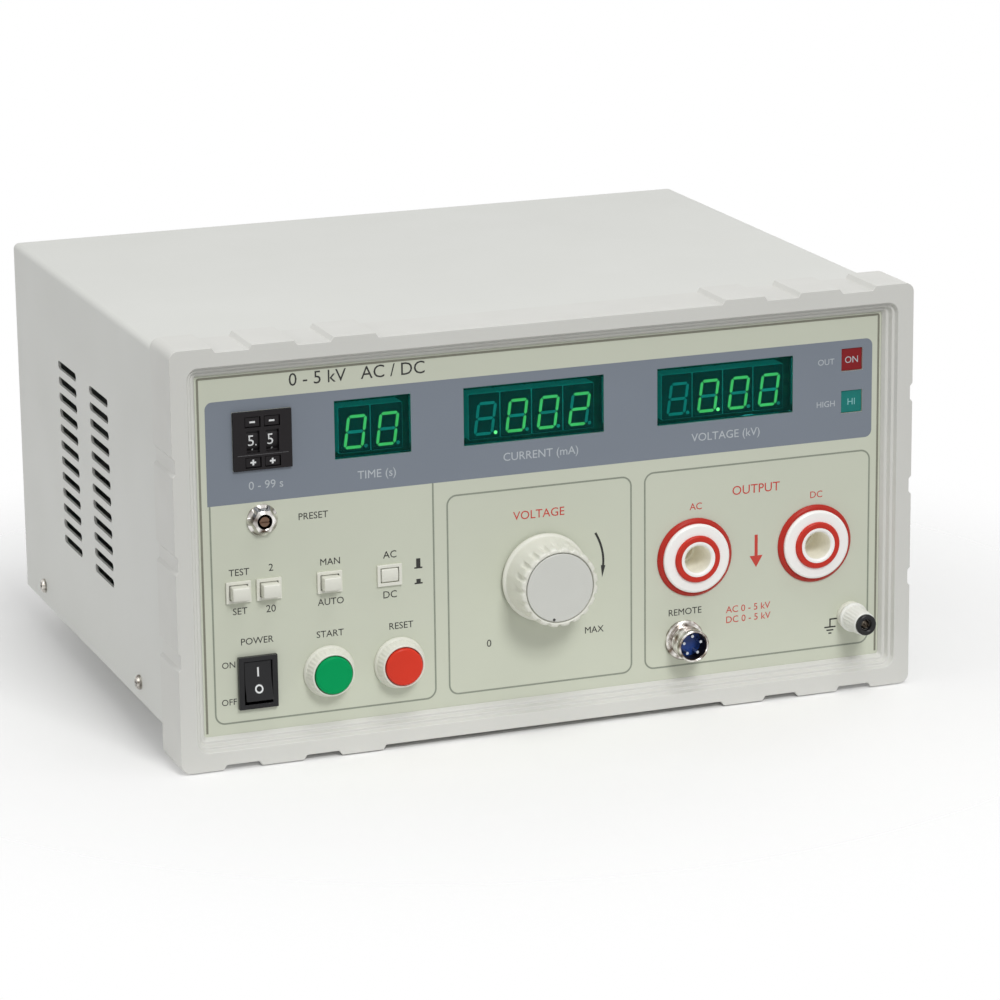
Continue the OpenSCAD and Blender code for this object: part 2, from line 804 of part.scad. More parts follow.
module base_pan() {
    color(steel) difference() {
        union() {
            slab(cover_front, rear_in)
                translate([-inner_x, case_lift]) square([2 * inner_x, sheet_t]);
            for (side = [-1, 1])
                slab(cover_front, rear_in)
                    translate([side * (inner_x - sheet_t / 2), case_lift + flange_w / 2])
                        square([sheet_t, flange_w], center = true);
            slab(rear_in - sheet_t, rear_in)
                translate([-inner_x, case_lift]) square([2 * inner_x, base_top - case_lift + flange_w]);
        }
        side_screw_holes();
        rear_screw_holes();
        for (side = [-1, 1])
            translate([side * foot_x, front_y + foot_depth, 0]) cylinder(h = 2 * base_top, r = screw_hole_r);
        for (k = [0:floor_slots - 1])
            translate([core_x, front_y + floor_slot_in + k * slot_pitch, case_lift - past])
                linear_extrude(sheet_t + 2 * past) {
                    square([slot_l, slot_h], center = true);
                    for (end = [-1, 1])
                        translate([end * slot_l / 2, 0]) circle(slot_h / 2, $fn = 24);
                }
    }
}

module rear_panel() {
    color(case_grey) difference() {
        slab(rear_in, rear_out)
            translate([-inner_x, case_lift]) square([2 * inner_x, case_top - case_lift - sheet_t - fold_gap]);
        rear_screw_holes();
        on_rear(inlet_x, inlet_z) {
            block(inlet_body + 2 * [fit_gap, fit_gap], -2 * sheet_t, past);
            for (side = [-1, 1])
                translate([side * inlet_screw_pitch / 2, 0, 0]) disc(screw_hole_r, -2 * sheet_t, past);
        }
    }
}

module rear_feet() {
    color(black)
        for (side = [-1, 1])
            translate([side * foot_x, front_y + foot_depth, 0]) difference() {
                cylinder(h = case_lift, r1 = foot_r, r2 = foot_r + 1);
                translate([0, 0, -past]) cylinder(h = foot_recess.y + past, r = foot_recess.x);
                cylinder(h = case_lift + past, r = screw_hole_r);
            }
}

// A pan head screw that points down from z = 0
module pan_screw() {
    difference() {
        union() {
            cylinder(h = screw_head_h / 2, r = screw_head_r);
            translate([0, 0, screw_head_h / 2])
                cylinder(h = screw_head_h / 2, r1 = screw_head_r, r2 = screw_head_r * 0.7);
            translate([0, 0, -screw_l]) cylinder(h = screw_l + screw_head_h / 4, r = screw_r);
        }
        for (turn = [0, 90])
            rotate(turn)
                translate([0, 0, screw_head_h])
                    cube([screw_head_r, 0.6, screw_head_h], center = true);
    }
}

module case_screws() {
    color(steel) {
        for (side = [-1, 1], depth = [side_screw_front, side_screw_rear])
            translate([side * case_w / 2, front_y + depth, side_screw_z])
                rotate([0, side * 90, 0]) pan_screw();
        for (side = [-1, 1], z = [rear_screw_low, rear_screw_top])
            on_rear(side * (inner_x - rear_screw_in), z) pan_screw();
        for (side = [-1, 1])
            on_rear(inlet_x, inlet_z)
                translate([side * inlet_screw_pitch / 2, 0, inlet_t]) pan_screw();
        for (side = [-1, 1])
            translate([side * foot_x, front_y + foot_depth, foot_recess.y])
                rotate([180, 0, 0]) foot_screw();
    }
}

// The screw in a foot reaches through the foot and the base
module foot_screw() {
    cylinder(h = screw_head_h, r = screw_head_r);
    translate([0, 0, foot_recess.y - base_top - 2])
        cylinder(h = base_top + 2 - foot_recess.y + screw_head_h / 2, r = screw_r);
}

module display_windows() {
    color("#0d4a3c")
        for (window = windows)
            on_panel(window[0]) {
                plug = [window[1] - 2 * fit_gap, window_h - 2 * fit_gap];
                flange = [window[1] + 2 * lens_flange_w, window_h + 2 * lens_flange_w];
                block(plug, -panel_t - lens_flange_t / 2, lens_proud);
                block(flange, -panel_t - lens_flange_t, -panel_t);
            }
}

module display_digits() {
    color("#1a2a26")
        for (window = windows)
            on_panel(window[0])
                for (k = [0:window[2] - 1])
                    translate([(k - (window[2] - 1) / 2) * digit_w, -digit_drop, 0])
                        block([digit_w - digit_seam, digit_h], board_front, digit_front);
}

module display_board() {
    first = standoff_x[0] - standoff_r - 2;
    last = standoff_x[3] + standoff_r + 2;
    color(board_green)
        on_panel([(first + last) / 2, timer_at.y])
            block([last - first, display_board_h], board_front - board_t, board_front);
}

module board_standoffs() {
    color(brass) {
        for (x = standoff_x)
            on_panel([x, timer_at.y]) disc(standoff_r, board_front, -panel_t);
        for (sx = [-1, 1], sy = [0, 1])
            translate([control_x + sx * (control_w / 2 - standoff_in),
                front_y + control_front + standoff_in + sy * (control_d - 2 * standoff_in), base_top])
                cylinder(h = control_up, r = standoff_r);
    }
}

// A digit wheel's place in the thumbwheel switch: -1 is the tens wheel, 1 the units wheel
module at_wheel(side) {
    on_panel(axle_at)
        translate([side * wheel_pitch / 2, 0, wheel_z]) children();
}

// A rod along x about the middle of a digit wheel
module rod(r, l) {
    rotate([0, 90, 0]) cylinder(h = l, r = r, center = true);
}

// A thumbwheel key's pocket or plate, at its height above the axle
module key_shape(grow, low, high) {
    block([key_w, key_h] + 2 * [grow, grow], low, high);
}

module thumbwheel_housing() {
    pocket_floor = thumb_proud - key_set - key_plate_t - key_stem.z - key_travel - slide_gap;
    color("#2d2628") difference() {
        union() {
            on_panel(thumb_at) {
                block([thumb_w, thumb_h], 0, thumb_proud);
                block(thumb_body, -thumb_d, thumb_proud / 2);
            }
        }
        for (side = [-1, 1]) {
            at_wheel(side) difference() {
                rod(wheel_r + 0.5, wheel_w + 2 * slide_gap);
                rod(axle_r, wheel_w + 2);
            }
            on_panel(axle_at)
                translate([side * wheel_pitch / 2, 0, 0]) {
                    block(digit_window, 0, thumb_proud + past);
                    translate([0, upper_key_up, 0]) key_shape(slide_gap, pocket_floor, thumb_proud + past);
                    translate([0, -lower_key_down, 0]) key_shape(slide_gap, pocket_floor, thumb_proud + past);
                }
        }
    }
}

module digit_wheel(side) {
    color("#2d2628")
        at_wheel(side) difference() {
            rod(wheel_r, wheel_w);
            rod(axle_r + run_gap, wheel_w + past);
        }
}

module tens_wheel() {
    digit_wheel(-1);
}

module units_wheel() {
    digit_wheel(1);
}

// A key with a plate at the front and a stem on the side away from the wheel
module wheel_key(side, up, outward) {
    front = thumb_proud - key_set;
    stem_y = outward * (key_h / 2 - key_stem.y / 2);
    color("#332b2d")
        on_panel(axle_at)
            translate([side * wheel_pitch / 2, up, 0]) {
                key_shape(0, front - key_plate_t, front);
                translate([0, stem_y, 0])
                    block([key_stem.x, key_stem.y],
                        front - key_plate_t - key_stem.z, front - key_plate_t / 2);
            }
}

module tens_minus_key() {
    wheel_key(-1, upper_key_up, 1);
}

module tens_plus_key() {
    wheel_key(-1, -lower_key_down, -1);
}

module units_minus_key() {
    wheel_key(1, upper_key_up, 1);
}

module units_plus_key() {
    wheel_key(1, -lower_key_down, -1);
}

// A square lamp: its lens in the cut-out and its body behind the panel
module square_lamp(at) {
    on_panel(at) {
        block([lamp_plug, lamp_plug], -panel_t - past, -lamp_set);
        block([lamp_flange, lamp_flange], -panel_t - lamp_body_l, -panel_t);
    }
}

module output_lamp() {
    color(red) square_lamp(output_lamp_at);
}

module limit_lamp() {
    color("#1f8f86") square_lamp(limit_lamp_at);
}

module preset_pot() {
    color(steel)
        on_panel(preset_at) difference() {
            union() {
                disc(preset_bush_r, -panel_t - past, preset_nut_h - 0.6);
                disc(preset_body_r, -panel_t - preset_body_l, -panel_t);
            }
            disc(preset_shaft_r + run_gap, -panel_t - preset_well, preset_nut_h + past);
        }
}

module preset_nut() {
    color(steel)
        on_panel(preset_at) difference() {
            union() {
                cylinder(h = preset_nut_h * 0.55, r = preset_nut_r, $fn = 12);
                translate([0, 0, preset_nut_h * 0.55])
                    cylinder(h = preset_nut_h * 0.45, r1 = preset_nut_r, r2 = preset_bush_r + 1, $fn = 12);
            }
            disc(preset_bush_r + run_gap, -past, preset_nut_h + past);
        }
}

module preset_shaft() {
    color(brass)
        on_panel(preset_at) difference() {
            disc(preset_shaft_r, -panel_t - preset_well + slide_gap, preset_nut_h);
            translate([0, 0, preset_nut_h])
                cube([3 * preset_shaft_r, 0.9, 2.4], center = true);
        }
}

module latch_switches() {
    color(cream)
        for (at = latch_at)
            on_panel(at) difference() {
                union() {
                    block([latch_w, latch_h], 0, latch_proud);
                    block(latch_body, -latch_d, latch_proud / 2);
                }
                block(latch_hole, -latch_well, latch_proud + past);
            }
}

// A latching button's cap with a crowned front, standing out or latched in
module latch_button(at, pushed) {
    front = latch_cap_out - pushed;
    color(cream)
        on_panel(at) intersection() {
            block([latch_cap_w, latch_cap_h], front - latch_cap_l, front);
            translate([0, 0, front - latch_cap_l])
                linear_extrude(latch_cap_l) square([latch_cap_w, latch_cap_h], center = true);
            union() {
                translate([0, 0, front - latch_crown_r]) rod(latch_crown_r, latch_cap_w + 2);
                block([latch_cap_w + 2, latch_cap_h + 2], front - latch_cap_l - past, front - latch_crown_r);
            }
        }
}

module test_button() {
    latch_button(latch_at[0], 0);
}

module range_button() {
    latch_button(latch_at[1], 0);
}

module timer_button() {
    latch_button(latch_at[2], 0);
}

module output_button() {
    latch_button(latch_at[3], latch_travel);
}

module rocker_frame() {
    well = rocker_pivot - rocker_well;
    color(black)
        on_panel(rocker_at) difference() {
            union() {
                block([rocker_frame_w, rocker_frame_h], 0, rocker_proud);
                block(rocker_body, -rocker_body_d, rocker_proud / 2);
            }
            block(rocker_hole, well, rocker_proud + past);
            translate([0, 0, rocker_pivot]) rod(trunnion_r + run_gap, rocker_hole.x + 2 * trunnion_l);
        }
}

// The rocker rests with its upper end pushed in
module power_rocker() {
    color(black)
        on_panel(rocker_at)
            translate([0, 0, rocker_pivot])
                rotate([-rocker_tilt, 0, 0]) {
                    rotate([0, 90, 0])
                        translate([0, 0, -rocker_w / 2])
                            linear_extrude(rocker_w)
                                rotate(90)
                                    polygon([[-rocker_reach, rocker_ends], [0, rocker_dip],
                                        [rocker_reach, rocker_ends], [rocker_reach, rocker_side], rocker_keel,
                                        [-rocker_keel.x, rocker_keel.y], [-rocker_reach, rocker_side]]);
                    rod(trunnion_r, rocker_w + 2 * (slide_gap + trunnion_l) - 0.4);
                }
}

module push_collars() {
    color(cream)
        for (at = [start_at, reset_at])
            on_panel(at) difference() {
                union() {
                    disc(collar_r, 0, collar_flange_t);
                    translate([0, 0, collar_flange_t / 2])
                        cylinder(h = collar_h - collar_flange_t / 2,
                            r1 = collar_r - 0.8, r2 = collar_front_r);
                    disc(collar_tube_r, -collar_tube_l, past);
                }
                disc(collar_bore_r, -collar_tube_l - past, collar_h + past);
                for (k = [0:collar_flutes - 1])
                    rotate(k * 360 / collar_flutes)
                        translate([collar_r, 0, collar_flange_t])
                            cylinder(h = collar_h, r = 1, $fn = 16);
            }
}

module push_switches() {
    color(black)
        for (at = [start_at, reset_at])
            on_panel(at) difference() {
                disc(push_body_r, -panel_t - push_body_l, -panel_t);
                disc(collar_tube_r + run_gap, -collar_tube_l - run_gap, past);
                disc(plunger_r + run_gap, -panel_t - push_body_l + 2, past);
            }
}

// A flat round cap on its plunger
module push_button(at, shade) {
    color(shade)
        on_panel(at) {
            translate([0, 0, push_proud - 0.6]) cylinder(h = 0.6, r1 = push_cap_r, r2 = push_cap_r - 0.6);
            disc(push_cap_r, push_proud - push_head_t, push_proud - 0.6);
            disc(plunger_r, push_proud - push_head_t - plunger_l, push_proud - push_head_t + past);
        }
}

module start_button() {
    push_button(start_at, "#08a05a");
}

module reset_button() {
    push_button(reset_at, "#de3e28");
}

// A ring about the voltage control's axis
module ring(outer, inner, low, high) {
    difference() {
        disc(outer, low, high);
        disc(inner, low - past, high + past);
    }
}

module variac_core() {
    color("#4a4c50")
        on_panel(knob_at)
            ring(winding_r - copper_t, winding_hole_r + copper_t, winding_rear + copper_t,
                winding_front - copper_t);
}

module variac_winding() {
    color(copper)
        on_panel(knob_at) difference() {
            ring(winding_r, winding_hole_r, winding_rear, winding_front);
            ring(winding_r - copper_t + run_gap, winding_hole_r + copper_t - run_gap,
                winding_rear + copper_t - run_gap, winding_front - copper_t + run_gap);
        }
}

module variac_bracket() {
    color(steel)
        on_panel(knob_at) difference() {
            union() {
                disc(winding_hole_r - fit_gap, winding_rear, winding_front + bracket_t / 2);
                disc(bracket_r, winding_front, winding_front + bracket_t);
                for (k = [0:2])
                    rotate(90 + k * 120)
                        translate([pillar_circle, 0, 0]) disc(pillar_r, winding_front, -panel_t);
            }
            disc(shaft_r + run_gap, winding_rear - past, past);
        }
}

module variac_shaft() {
    color(steel)
        on_panel(knob_at) disc(shaft_r, shaft_rear, knob_l - 4);
}

// The arm that carries the brush over the winding's rear face
module brush_arm() {
    color(brass)
        on_panel(knob_at) difference() {
            union() {
                disc(arm_hub_r, shaft_rear, winding_rear - 1);
                translate([-arm_w / 2, -brush_circle - brush_size.y / 2, arm_front - arm_t])
                    cube([arm_w, brush_circle + brush_size.y / 2, arm_t]);
                translate([0, -brush_circle, 0])
                    block(brush_size, arm_front - arm_t / 2, winding_rear - arm_gap);
            }
            disc(shaft_r + run_gap, shaft_rear - past, 0);
        }
}

module voltage_knob() {
    color(cream)
        on_panel(knob_at) difference() {
            union() {
                translate([0, 0, knob_lift])
                    cylinder(h = knob_skirt_l, r1 = knob_r, r2 = knob_grip_r + 0.2);
                disc(knob_grip_r, knob_lift, knob_l - 1);
                translate([0, 0, knob_l - 1]) cylinder(h = 1, r1 = knob_grip_r, r2 = knob_grip_r - 1);
            }
            for (k = [0:knob_flutes - 1])
                rotate(k * 360 / knob_flutes)
                    translate([knob_grip_r + flute_r * 0.45, 0, knob_skirt_l + knob_lift])
                        cylinder(h = knob_l, r = flute_r, $fn = 16);
            disc(knob_cap_r + knob_ring_gap, knob_l - knob_cap_t, knob_l + past);
            disc(shaft_r + run_gap, 0, knob_l - 4);
        }
}

module knob_cap() {
    color("#d2d2cf")
        on_panel(knob_at) disc(knob_cap_r, knob_l - knob_cap_t, knob_l);
}

module jack_flanges() {
    color(red)
        for (at = jack_at)
            on_panel(at) difference() {
                union() {
                    disc(jack_r, 0, jack_flange_t / 2);
                    translate([0, 0, jack_flange_t / 2])
                        cylinder(h = jack_flange_t / 2, r1 = jack_r, r2 = jack_r - 0.6);
                }
                disc(jack_seat_r + run_gap, -past, jack_flange_t + past);
            }
}

module jack_insulators() {
    color("#f4f4f0")
        for (at = jack_at)
            on_panel(at) difference() {
                union() {
                    disc(jack_barrel_r, -jack_barrel_l, past);
                    disc(jack_seat_r, 0, jack_flange_t + past / 2);
                    disc(jack_disc_r, jack_flange_t, jack_disc_z - 0.6);
                    translate([0, 0, jack_disc_z - 0.6])
                        cylinder(h = 0.6, r1 = jack_disc_r, r2 = jack_disc_r - 0.8);
                    disc(jack_boss_r, 0, jack_front);
                }
                disc(jack_bore_r, -jack_bore_d, jack_front + past);
                disc(jack_deep_r, -jack_deep_d, 0);
                disc(contact_r + run_gap, -jack_barrel_l - past, 0);
                translate([0, 0, jack_front - jack_mouth])
                    cylinder(h = 2 * jack_mouth, r1 = jack_bore_r, r2 = jack_bore_r + 2 * jack_mouth);
            }
}

module jack_rings() {
    color(red)
        for (at = jack_at)
            on_panel(at) difference() {
                union() {
                    disc(jack_ring_r, jack_disc_z, jack_disc_z + jack_ring_t / 2);
                    translate([0, 0, jack_disc_z + jack_ring_t / 2])
                        cylinder(h = jack_ring_t / 2, r1 = jack_ring_r, r2 = jack_ring_r - 0.5);
                }
                disc(jack_boss_r + run_gap, 0, jack_front + past);
            }
}

module jack_contacts() {
    color(brass)
        for (at = jack_at)
            on_panel(at) {
                disc(contact_r, -jack_barrel_l - contact_tail, contact_tip - 1);
                translate([0, 0, contact_tip - 1]) cylinder(h = 1, r1 = contact_r, r2 = contact_r - 0.8);
            }
}

module connector_shell() {
    color(steel)
        on_panel(plug_at) difference() {
            union() {
                disc(plug_flange_r, 0, plug_flange_t);
                disc(plug_r, plug_flange_t / 2, plug_proud);
                disc(plug_body_r, -plug_tail, plug_flange_t / 2);
            }
            disc(plug_bore_r, -plug_tail - past, plug_proud + past);
        }
}

// The connector's pins stand evenly on a circle
module at_pins() {
    for (k = [0:plug_pins - 1])
        rotate(90 + k * 360 / plug_pins)
            translate([plug_pin_circle, 0, 0]) children();
}

module connector_insert() {
    color("#2a4f9e")
        on_panel(plug_at) difference() {
            disc(plug_bore_r - run_gap, -plug_tail + 2, insert_face);
            at_pins() disc(plug_pin_r + run_gap, -plug_tail, plug_proud);
        }
}

module connector_pins() {
    color(brass)
        on_panel(plug_at)
            at_pins() disc(plug_pin_r, -plug_tail - 2, insert_face + pin_reach);
}

module ground_stud() {
    color(steel)
        on_panel(post_at) difference() {
            union() {
                disc(shoulder_r, -panel_t - post_tail / 2, post_collar_h);
                disc(shoulder_r + 2, -panel_t - 3, -panel_t);
                disc(post_r, -panel_t - post_tail, post_end);
            }
            disc(post_bore_r, post_end - post_bore_d, post_end + past);
        }
}

module ground_collar() {
    color(cream)
        on_panel(post_at) ring(post_collar_r, shoulder_r + run_gap, 0, post_collar_h);
}

module ground_washer() {
    color(steel)
        on_panel(post_at) ring(post_collar_r - 1, post_r + run_gap, washer_z, washer_z + washer_t);
}

module ground_nut() {
    color(cream)
        on_panel(post_at) difference() {
            union() {
                disc(nut_foot_r, post_nut_z, post_nut_z + nut_foot_h);
                translate([0, 0, post_nut_z]) cylinder(h = post_nut_l, r1 = post_nut_r, r2 = nut_top_r);
            }
            disc(post_r + run_gap, 0, post_nut_z + post_nut_l + past);
        }
}

module ground_tip() {
    color(black)
        on_panel(post_at)
            ring(post_tip_r, post_bore_r + 0.2,
                post_nut_z + post_nut_l, post_nut_z + post_nut_l + post_tip_h);
}

// The inlet's keyed opening, with its two upper corners cut off
module inlet_opening() {
    w = inlet_hole.x / 2;
    h = inlet_hole.y / 2;
    polygon([[-w, -h], [w, -h], [w, h - inlet_chamfer], [w - inlet_chamfer, h],
        [inlet_chamfer - w, h], [-w, h - inlet_chamfer]]);
}

module inlet_housing() {
    color(black)
        on_rear(inlet_x, inlet_z) difference() {
            union() {
                linear_extrude(inlet_t) rounded([inlet_w, inlet_h], 3);
                block(inlet_body, -inlet_d, inlet_t / 2);
            }
            translate([0, inlet_socket_up, inlet_t - inlet_socket_d])
                linear_extrude(inlet_socket_d + past) inlet_opening();
            translate([0, -drawer_down, 0])
                block([drawer_w, drawer_h] + 2 * [slide_gap, slide_gap], drawer_front - drawer_l - slide_gap,
                    2 * inlet_t);
            for (side = [-1, 1])
                translate([side * inlet_screw_pitch / 2, 0, 0]) disc(screw_hole_r, -past, inlet_t + past);
            inlet_blades(run_gap);
        }
}

// Three flat blades: line and neutral side by side, with earth above between them
module inlet_blades(grow) {
    foot = inlet_t - inlet_socket_d - 4;
    for (spot = [[-blade_x, -blade_up / 2], [0, blade_up], [blade_x, -blade_up / 2]])
        translate([spot.x, inlet_socket_up + spot.y, 0])
            block([blade.x, blade.y] + 2 * [grow, grow], foot, foot + 4 + blade.z);
}

module inlet_pins() {
    color(brass)
        on_rear(inlet_x, inlet_z) inlet_blades(0);
}

// The drawer with its fuse lying in a trough
module fuse_drawer() {
    back = drawer_front - drawer_l;
    trough = 0.8 - drawer_h / 2;
    color(black)
        on_rear(inlet_x, inlet_z)
            translate([0, -drawer_down, 0]) {
                difference() {
                    block([drawer_w, drawer_h], back, drawer_front);
                    translate([0, trough + drawer_h / 2, back + drawer_l / 2 - 1])
                        cube([fuse_l + 2, drawer_h, 2 * fuse_r + 1], center = true);
                    translate([0, drawer_h / 2, drawer_front])
                        cube([drawer_w / 2, 3, 2.4], center = true);
                }
                translate([0, trough + fuse_r, back + drawer_l / 2 - 1]) rod(fuse_r, fuse_l);
            }
}

// The transformer's core stands on the base
module at_core() {
    translate([core_x, front_y + core_depth, base_top]) children();
}

module transformer_core() {
    window_w = (core_w - 4 * leg_w) / 2;
    color("#4a4c50")
        at_core() difference() {
            translate([-core_w / 2, -core_d / 2, 0]) cube([core_w, core_d, core_h]);
            for (side = [-1, 1])
                translate([side * (leg_w + window_w / 2), 0, core_h / 2])
                    cube([window_w, core_d + 2 * past, core_h - 2 * yoke_h], center = true);
        }
}

module transformer_coil() {
    window_w = (core_w - 4 * leg_w) / 2;
    size = [2 * leg_w + 2 * window_w - 2 * leg_gap, core_d + 2 * coil_out, core_h - 2 * yoke_h - 2 * leg_gap];
    color("#d8c79a")
        at_core()
            translate([0, 0, core_h / 2]) difference() {
                cube(size, center = true);
                cube([2 * leg_w + 2 * leg_gap, core_d + 2 * leg_gap, core_h], center = true);
            }
}

module control_board() {
    color(board_green)
        translate([control_x - control_w / 2, front_y + control_front, base_top + control_up])
            cube([control_w, control_d, board_t]);
}

// Relays, the rectifier's high voltage capacitors and the mains terminal on the control board
module board_parts() {
    color("#3a5f9e")
        translate([control_x, front_y + control_front, base_top + control_up + board_t]) {
            for (k = [0:2])
                translate([relay_at.x - control_w / 2, relay_at.y + k * relay_pitch, 0]) cube(relay);
            for (k = [0:1])
                translate([control_w / 2 - capacitor_at.x, capacitor_at.y + k * capacitor_pitch, 0])
                    cylinder(h = capacitor_h, r = capacitor_r);
            translate([-terminal.x / 2, control_d - terminal.y - terminal_in, 0]) cube(terminal);
        }
}

front_bezel();
front_panel();
top_cover();
base_pan();
rear_panel();
rear_feet();
case_screws();
display_windows();
display_digits();
display_board();
board_standoffs();
thumbwheel_housing();
tens_wheel();
units_wheel();
tens_minus_key();
tens_plus_key();
units_minus_key();
units_plus_key();
output_lamp();
limit_lamp();
preset_pot();
preset_nut();
preset_shaft();
latch_switches();
test_button();
range_button();
timer_button();
output_button();
rocker_frame();
power_rocker();
push_collars();
push_switches();
start_button();
reset_button();
variac_core();
variac_winding();
variac_bracket();
variac_shaft();
brush_arm();
voltage_knob();
knob_cap();
jack_flanges();
jack_insulators();
jack_rings();
jack_contacts();
connector_shell();
connector_insert();
connector_pins();
ground_stud();
ground_collar();
ground_washer();
ground_nut();
ground_tip();
inlet_housing();
inlet_pins();
fuse_drawer();
transformer_core();
transformer_coil();
control_board();
board_parts();
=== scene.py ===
"""Dresses the hipot tester: materials for the solids, finer pieces for the front panel, and the studio."""

import json
import math

import bmesh
import bpy
from mathutils import Matrix, Vector


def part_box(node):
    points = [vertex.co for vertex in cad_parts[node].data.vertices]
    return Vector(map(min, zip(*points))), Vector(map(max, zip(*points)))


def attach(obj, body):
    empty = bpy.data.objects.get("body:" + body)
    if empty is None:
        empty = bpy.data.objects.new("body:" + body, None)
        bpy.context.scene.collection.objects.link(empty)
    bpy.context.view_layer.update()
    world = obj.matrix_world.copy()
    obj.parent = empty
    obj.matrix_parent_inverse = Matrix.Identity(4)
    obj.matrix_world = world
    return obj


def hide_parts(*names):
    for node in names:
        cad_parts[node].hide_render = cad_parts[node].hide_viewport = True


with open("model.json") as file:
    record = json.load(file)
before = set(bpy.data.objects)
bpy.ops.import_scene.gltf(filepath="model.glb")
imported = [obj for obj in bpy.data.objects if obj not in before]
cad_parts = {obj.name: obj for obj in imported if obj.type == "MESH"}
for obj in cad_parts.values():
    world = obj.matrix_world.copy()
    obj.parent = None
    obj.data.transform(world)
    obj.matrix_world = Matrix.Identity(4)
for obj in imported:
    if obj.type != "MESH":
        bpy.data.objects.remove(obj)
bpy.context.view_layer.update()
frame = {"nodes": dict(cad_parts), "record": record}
nodes = frame["nodes"]
scene = bpy.context.scene

# The part's lengths are in millimetres here. The camera, the floor and the lamps are in metres.
MM = 0.001


def low(node):
    """Lowest corner of a node, in millimetres."""
    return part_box(node)[0] / MM


def high(node):
    """Highest corner of a node, in millimetres."""
    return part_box(node)[1] / MM


def place(node):
    """A node's middle on the panel, as x and z."""
    middle = (low(node) + high(node)) / 2
    return middle.x, middle.z


def pair(node, radius):
    """The two places of a node that holds two round pieces side by side."""
    z = place(node)[1]
    return (low(node).x + radius, z), (high(node).x - radius, z)


PANEL_Y = low("front_panel").y


def half_height(node):
    """Half the height of a node, which is the radius of a round one."""
    return (high(node).z - low(node).z) / 2


def depth_behind(node):
    """How far a node reaches behind the panel's front."""
    return high(node).y - PANEL_Y


def out_of(node):
    """How far a node stands out of the panel."""
    return PANEL_Y - low(node).y


def spot(x, z, out=0.0):
    """A point of the panel's front, or so far out of it."""
    return Vector((x, PANEL_Y - out, z)) * MM


# Camera, as fitted to the photograph
CAMERA_AT = Vector((-0.595732, -1.649764, 0.541184))
CAMERA_RIGHT = Vector((0.93561, -0.35287, -0.01093))
CAMERA_DOWN = Vector((-0.10201, -0.24058, -0.96525))
CAMERA_FORWARD = Vector((0.33798, 0.90422, -0.26109))
CAMERA_LENS = 151.34
camera_data = bpy.data.cameras.new("camera")
camera_data.lens = CAMERA_LENS
camera_data.sensor_width = 36.0
camera_data.clip_start = 0.05
camera_data.clip_end = 50.0
camera = bpy.data.objects.new("camera", camera_data)
turn = Matrix((CAMERA_RIGHT, -CAMERA_DOWN, -CAMERA_FORWARD)).transposed()
camera.matrix_world = Matrix.Translation(CAMERA_AT) @ turn.to_4x4()
scene.collection.objects.link(camera)
scene.camera = camera
scene.view_settings.view_transform = "Standard"


# Colours and materials

def rgb(red, green, blue):
    """A colour written as 0 to 255 on screen, as the linear colour that a shader takes."""
    linear = []
    for value in (red, green, blue):
        share = value / 255
        linear.append(share / 12.92 if share <= 0.04045 else ((share + 0.055) / 1.055) ** 2.4)
    return (*linear, 1.0)


def shade(colour, factor):
    """The colour made lighter or darker."""
    return (*(min(1.0, value * factor) for value in colour[:3]), 1.0)


# Most of a noise texture's values lie between these two
NOISE_LOW, NOISE_HIGH = 0.3, 0.7


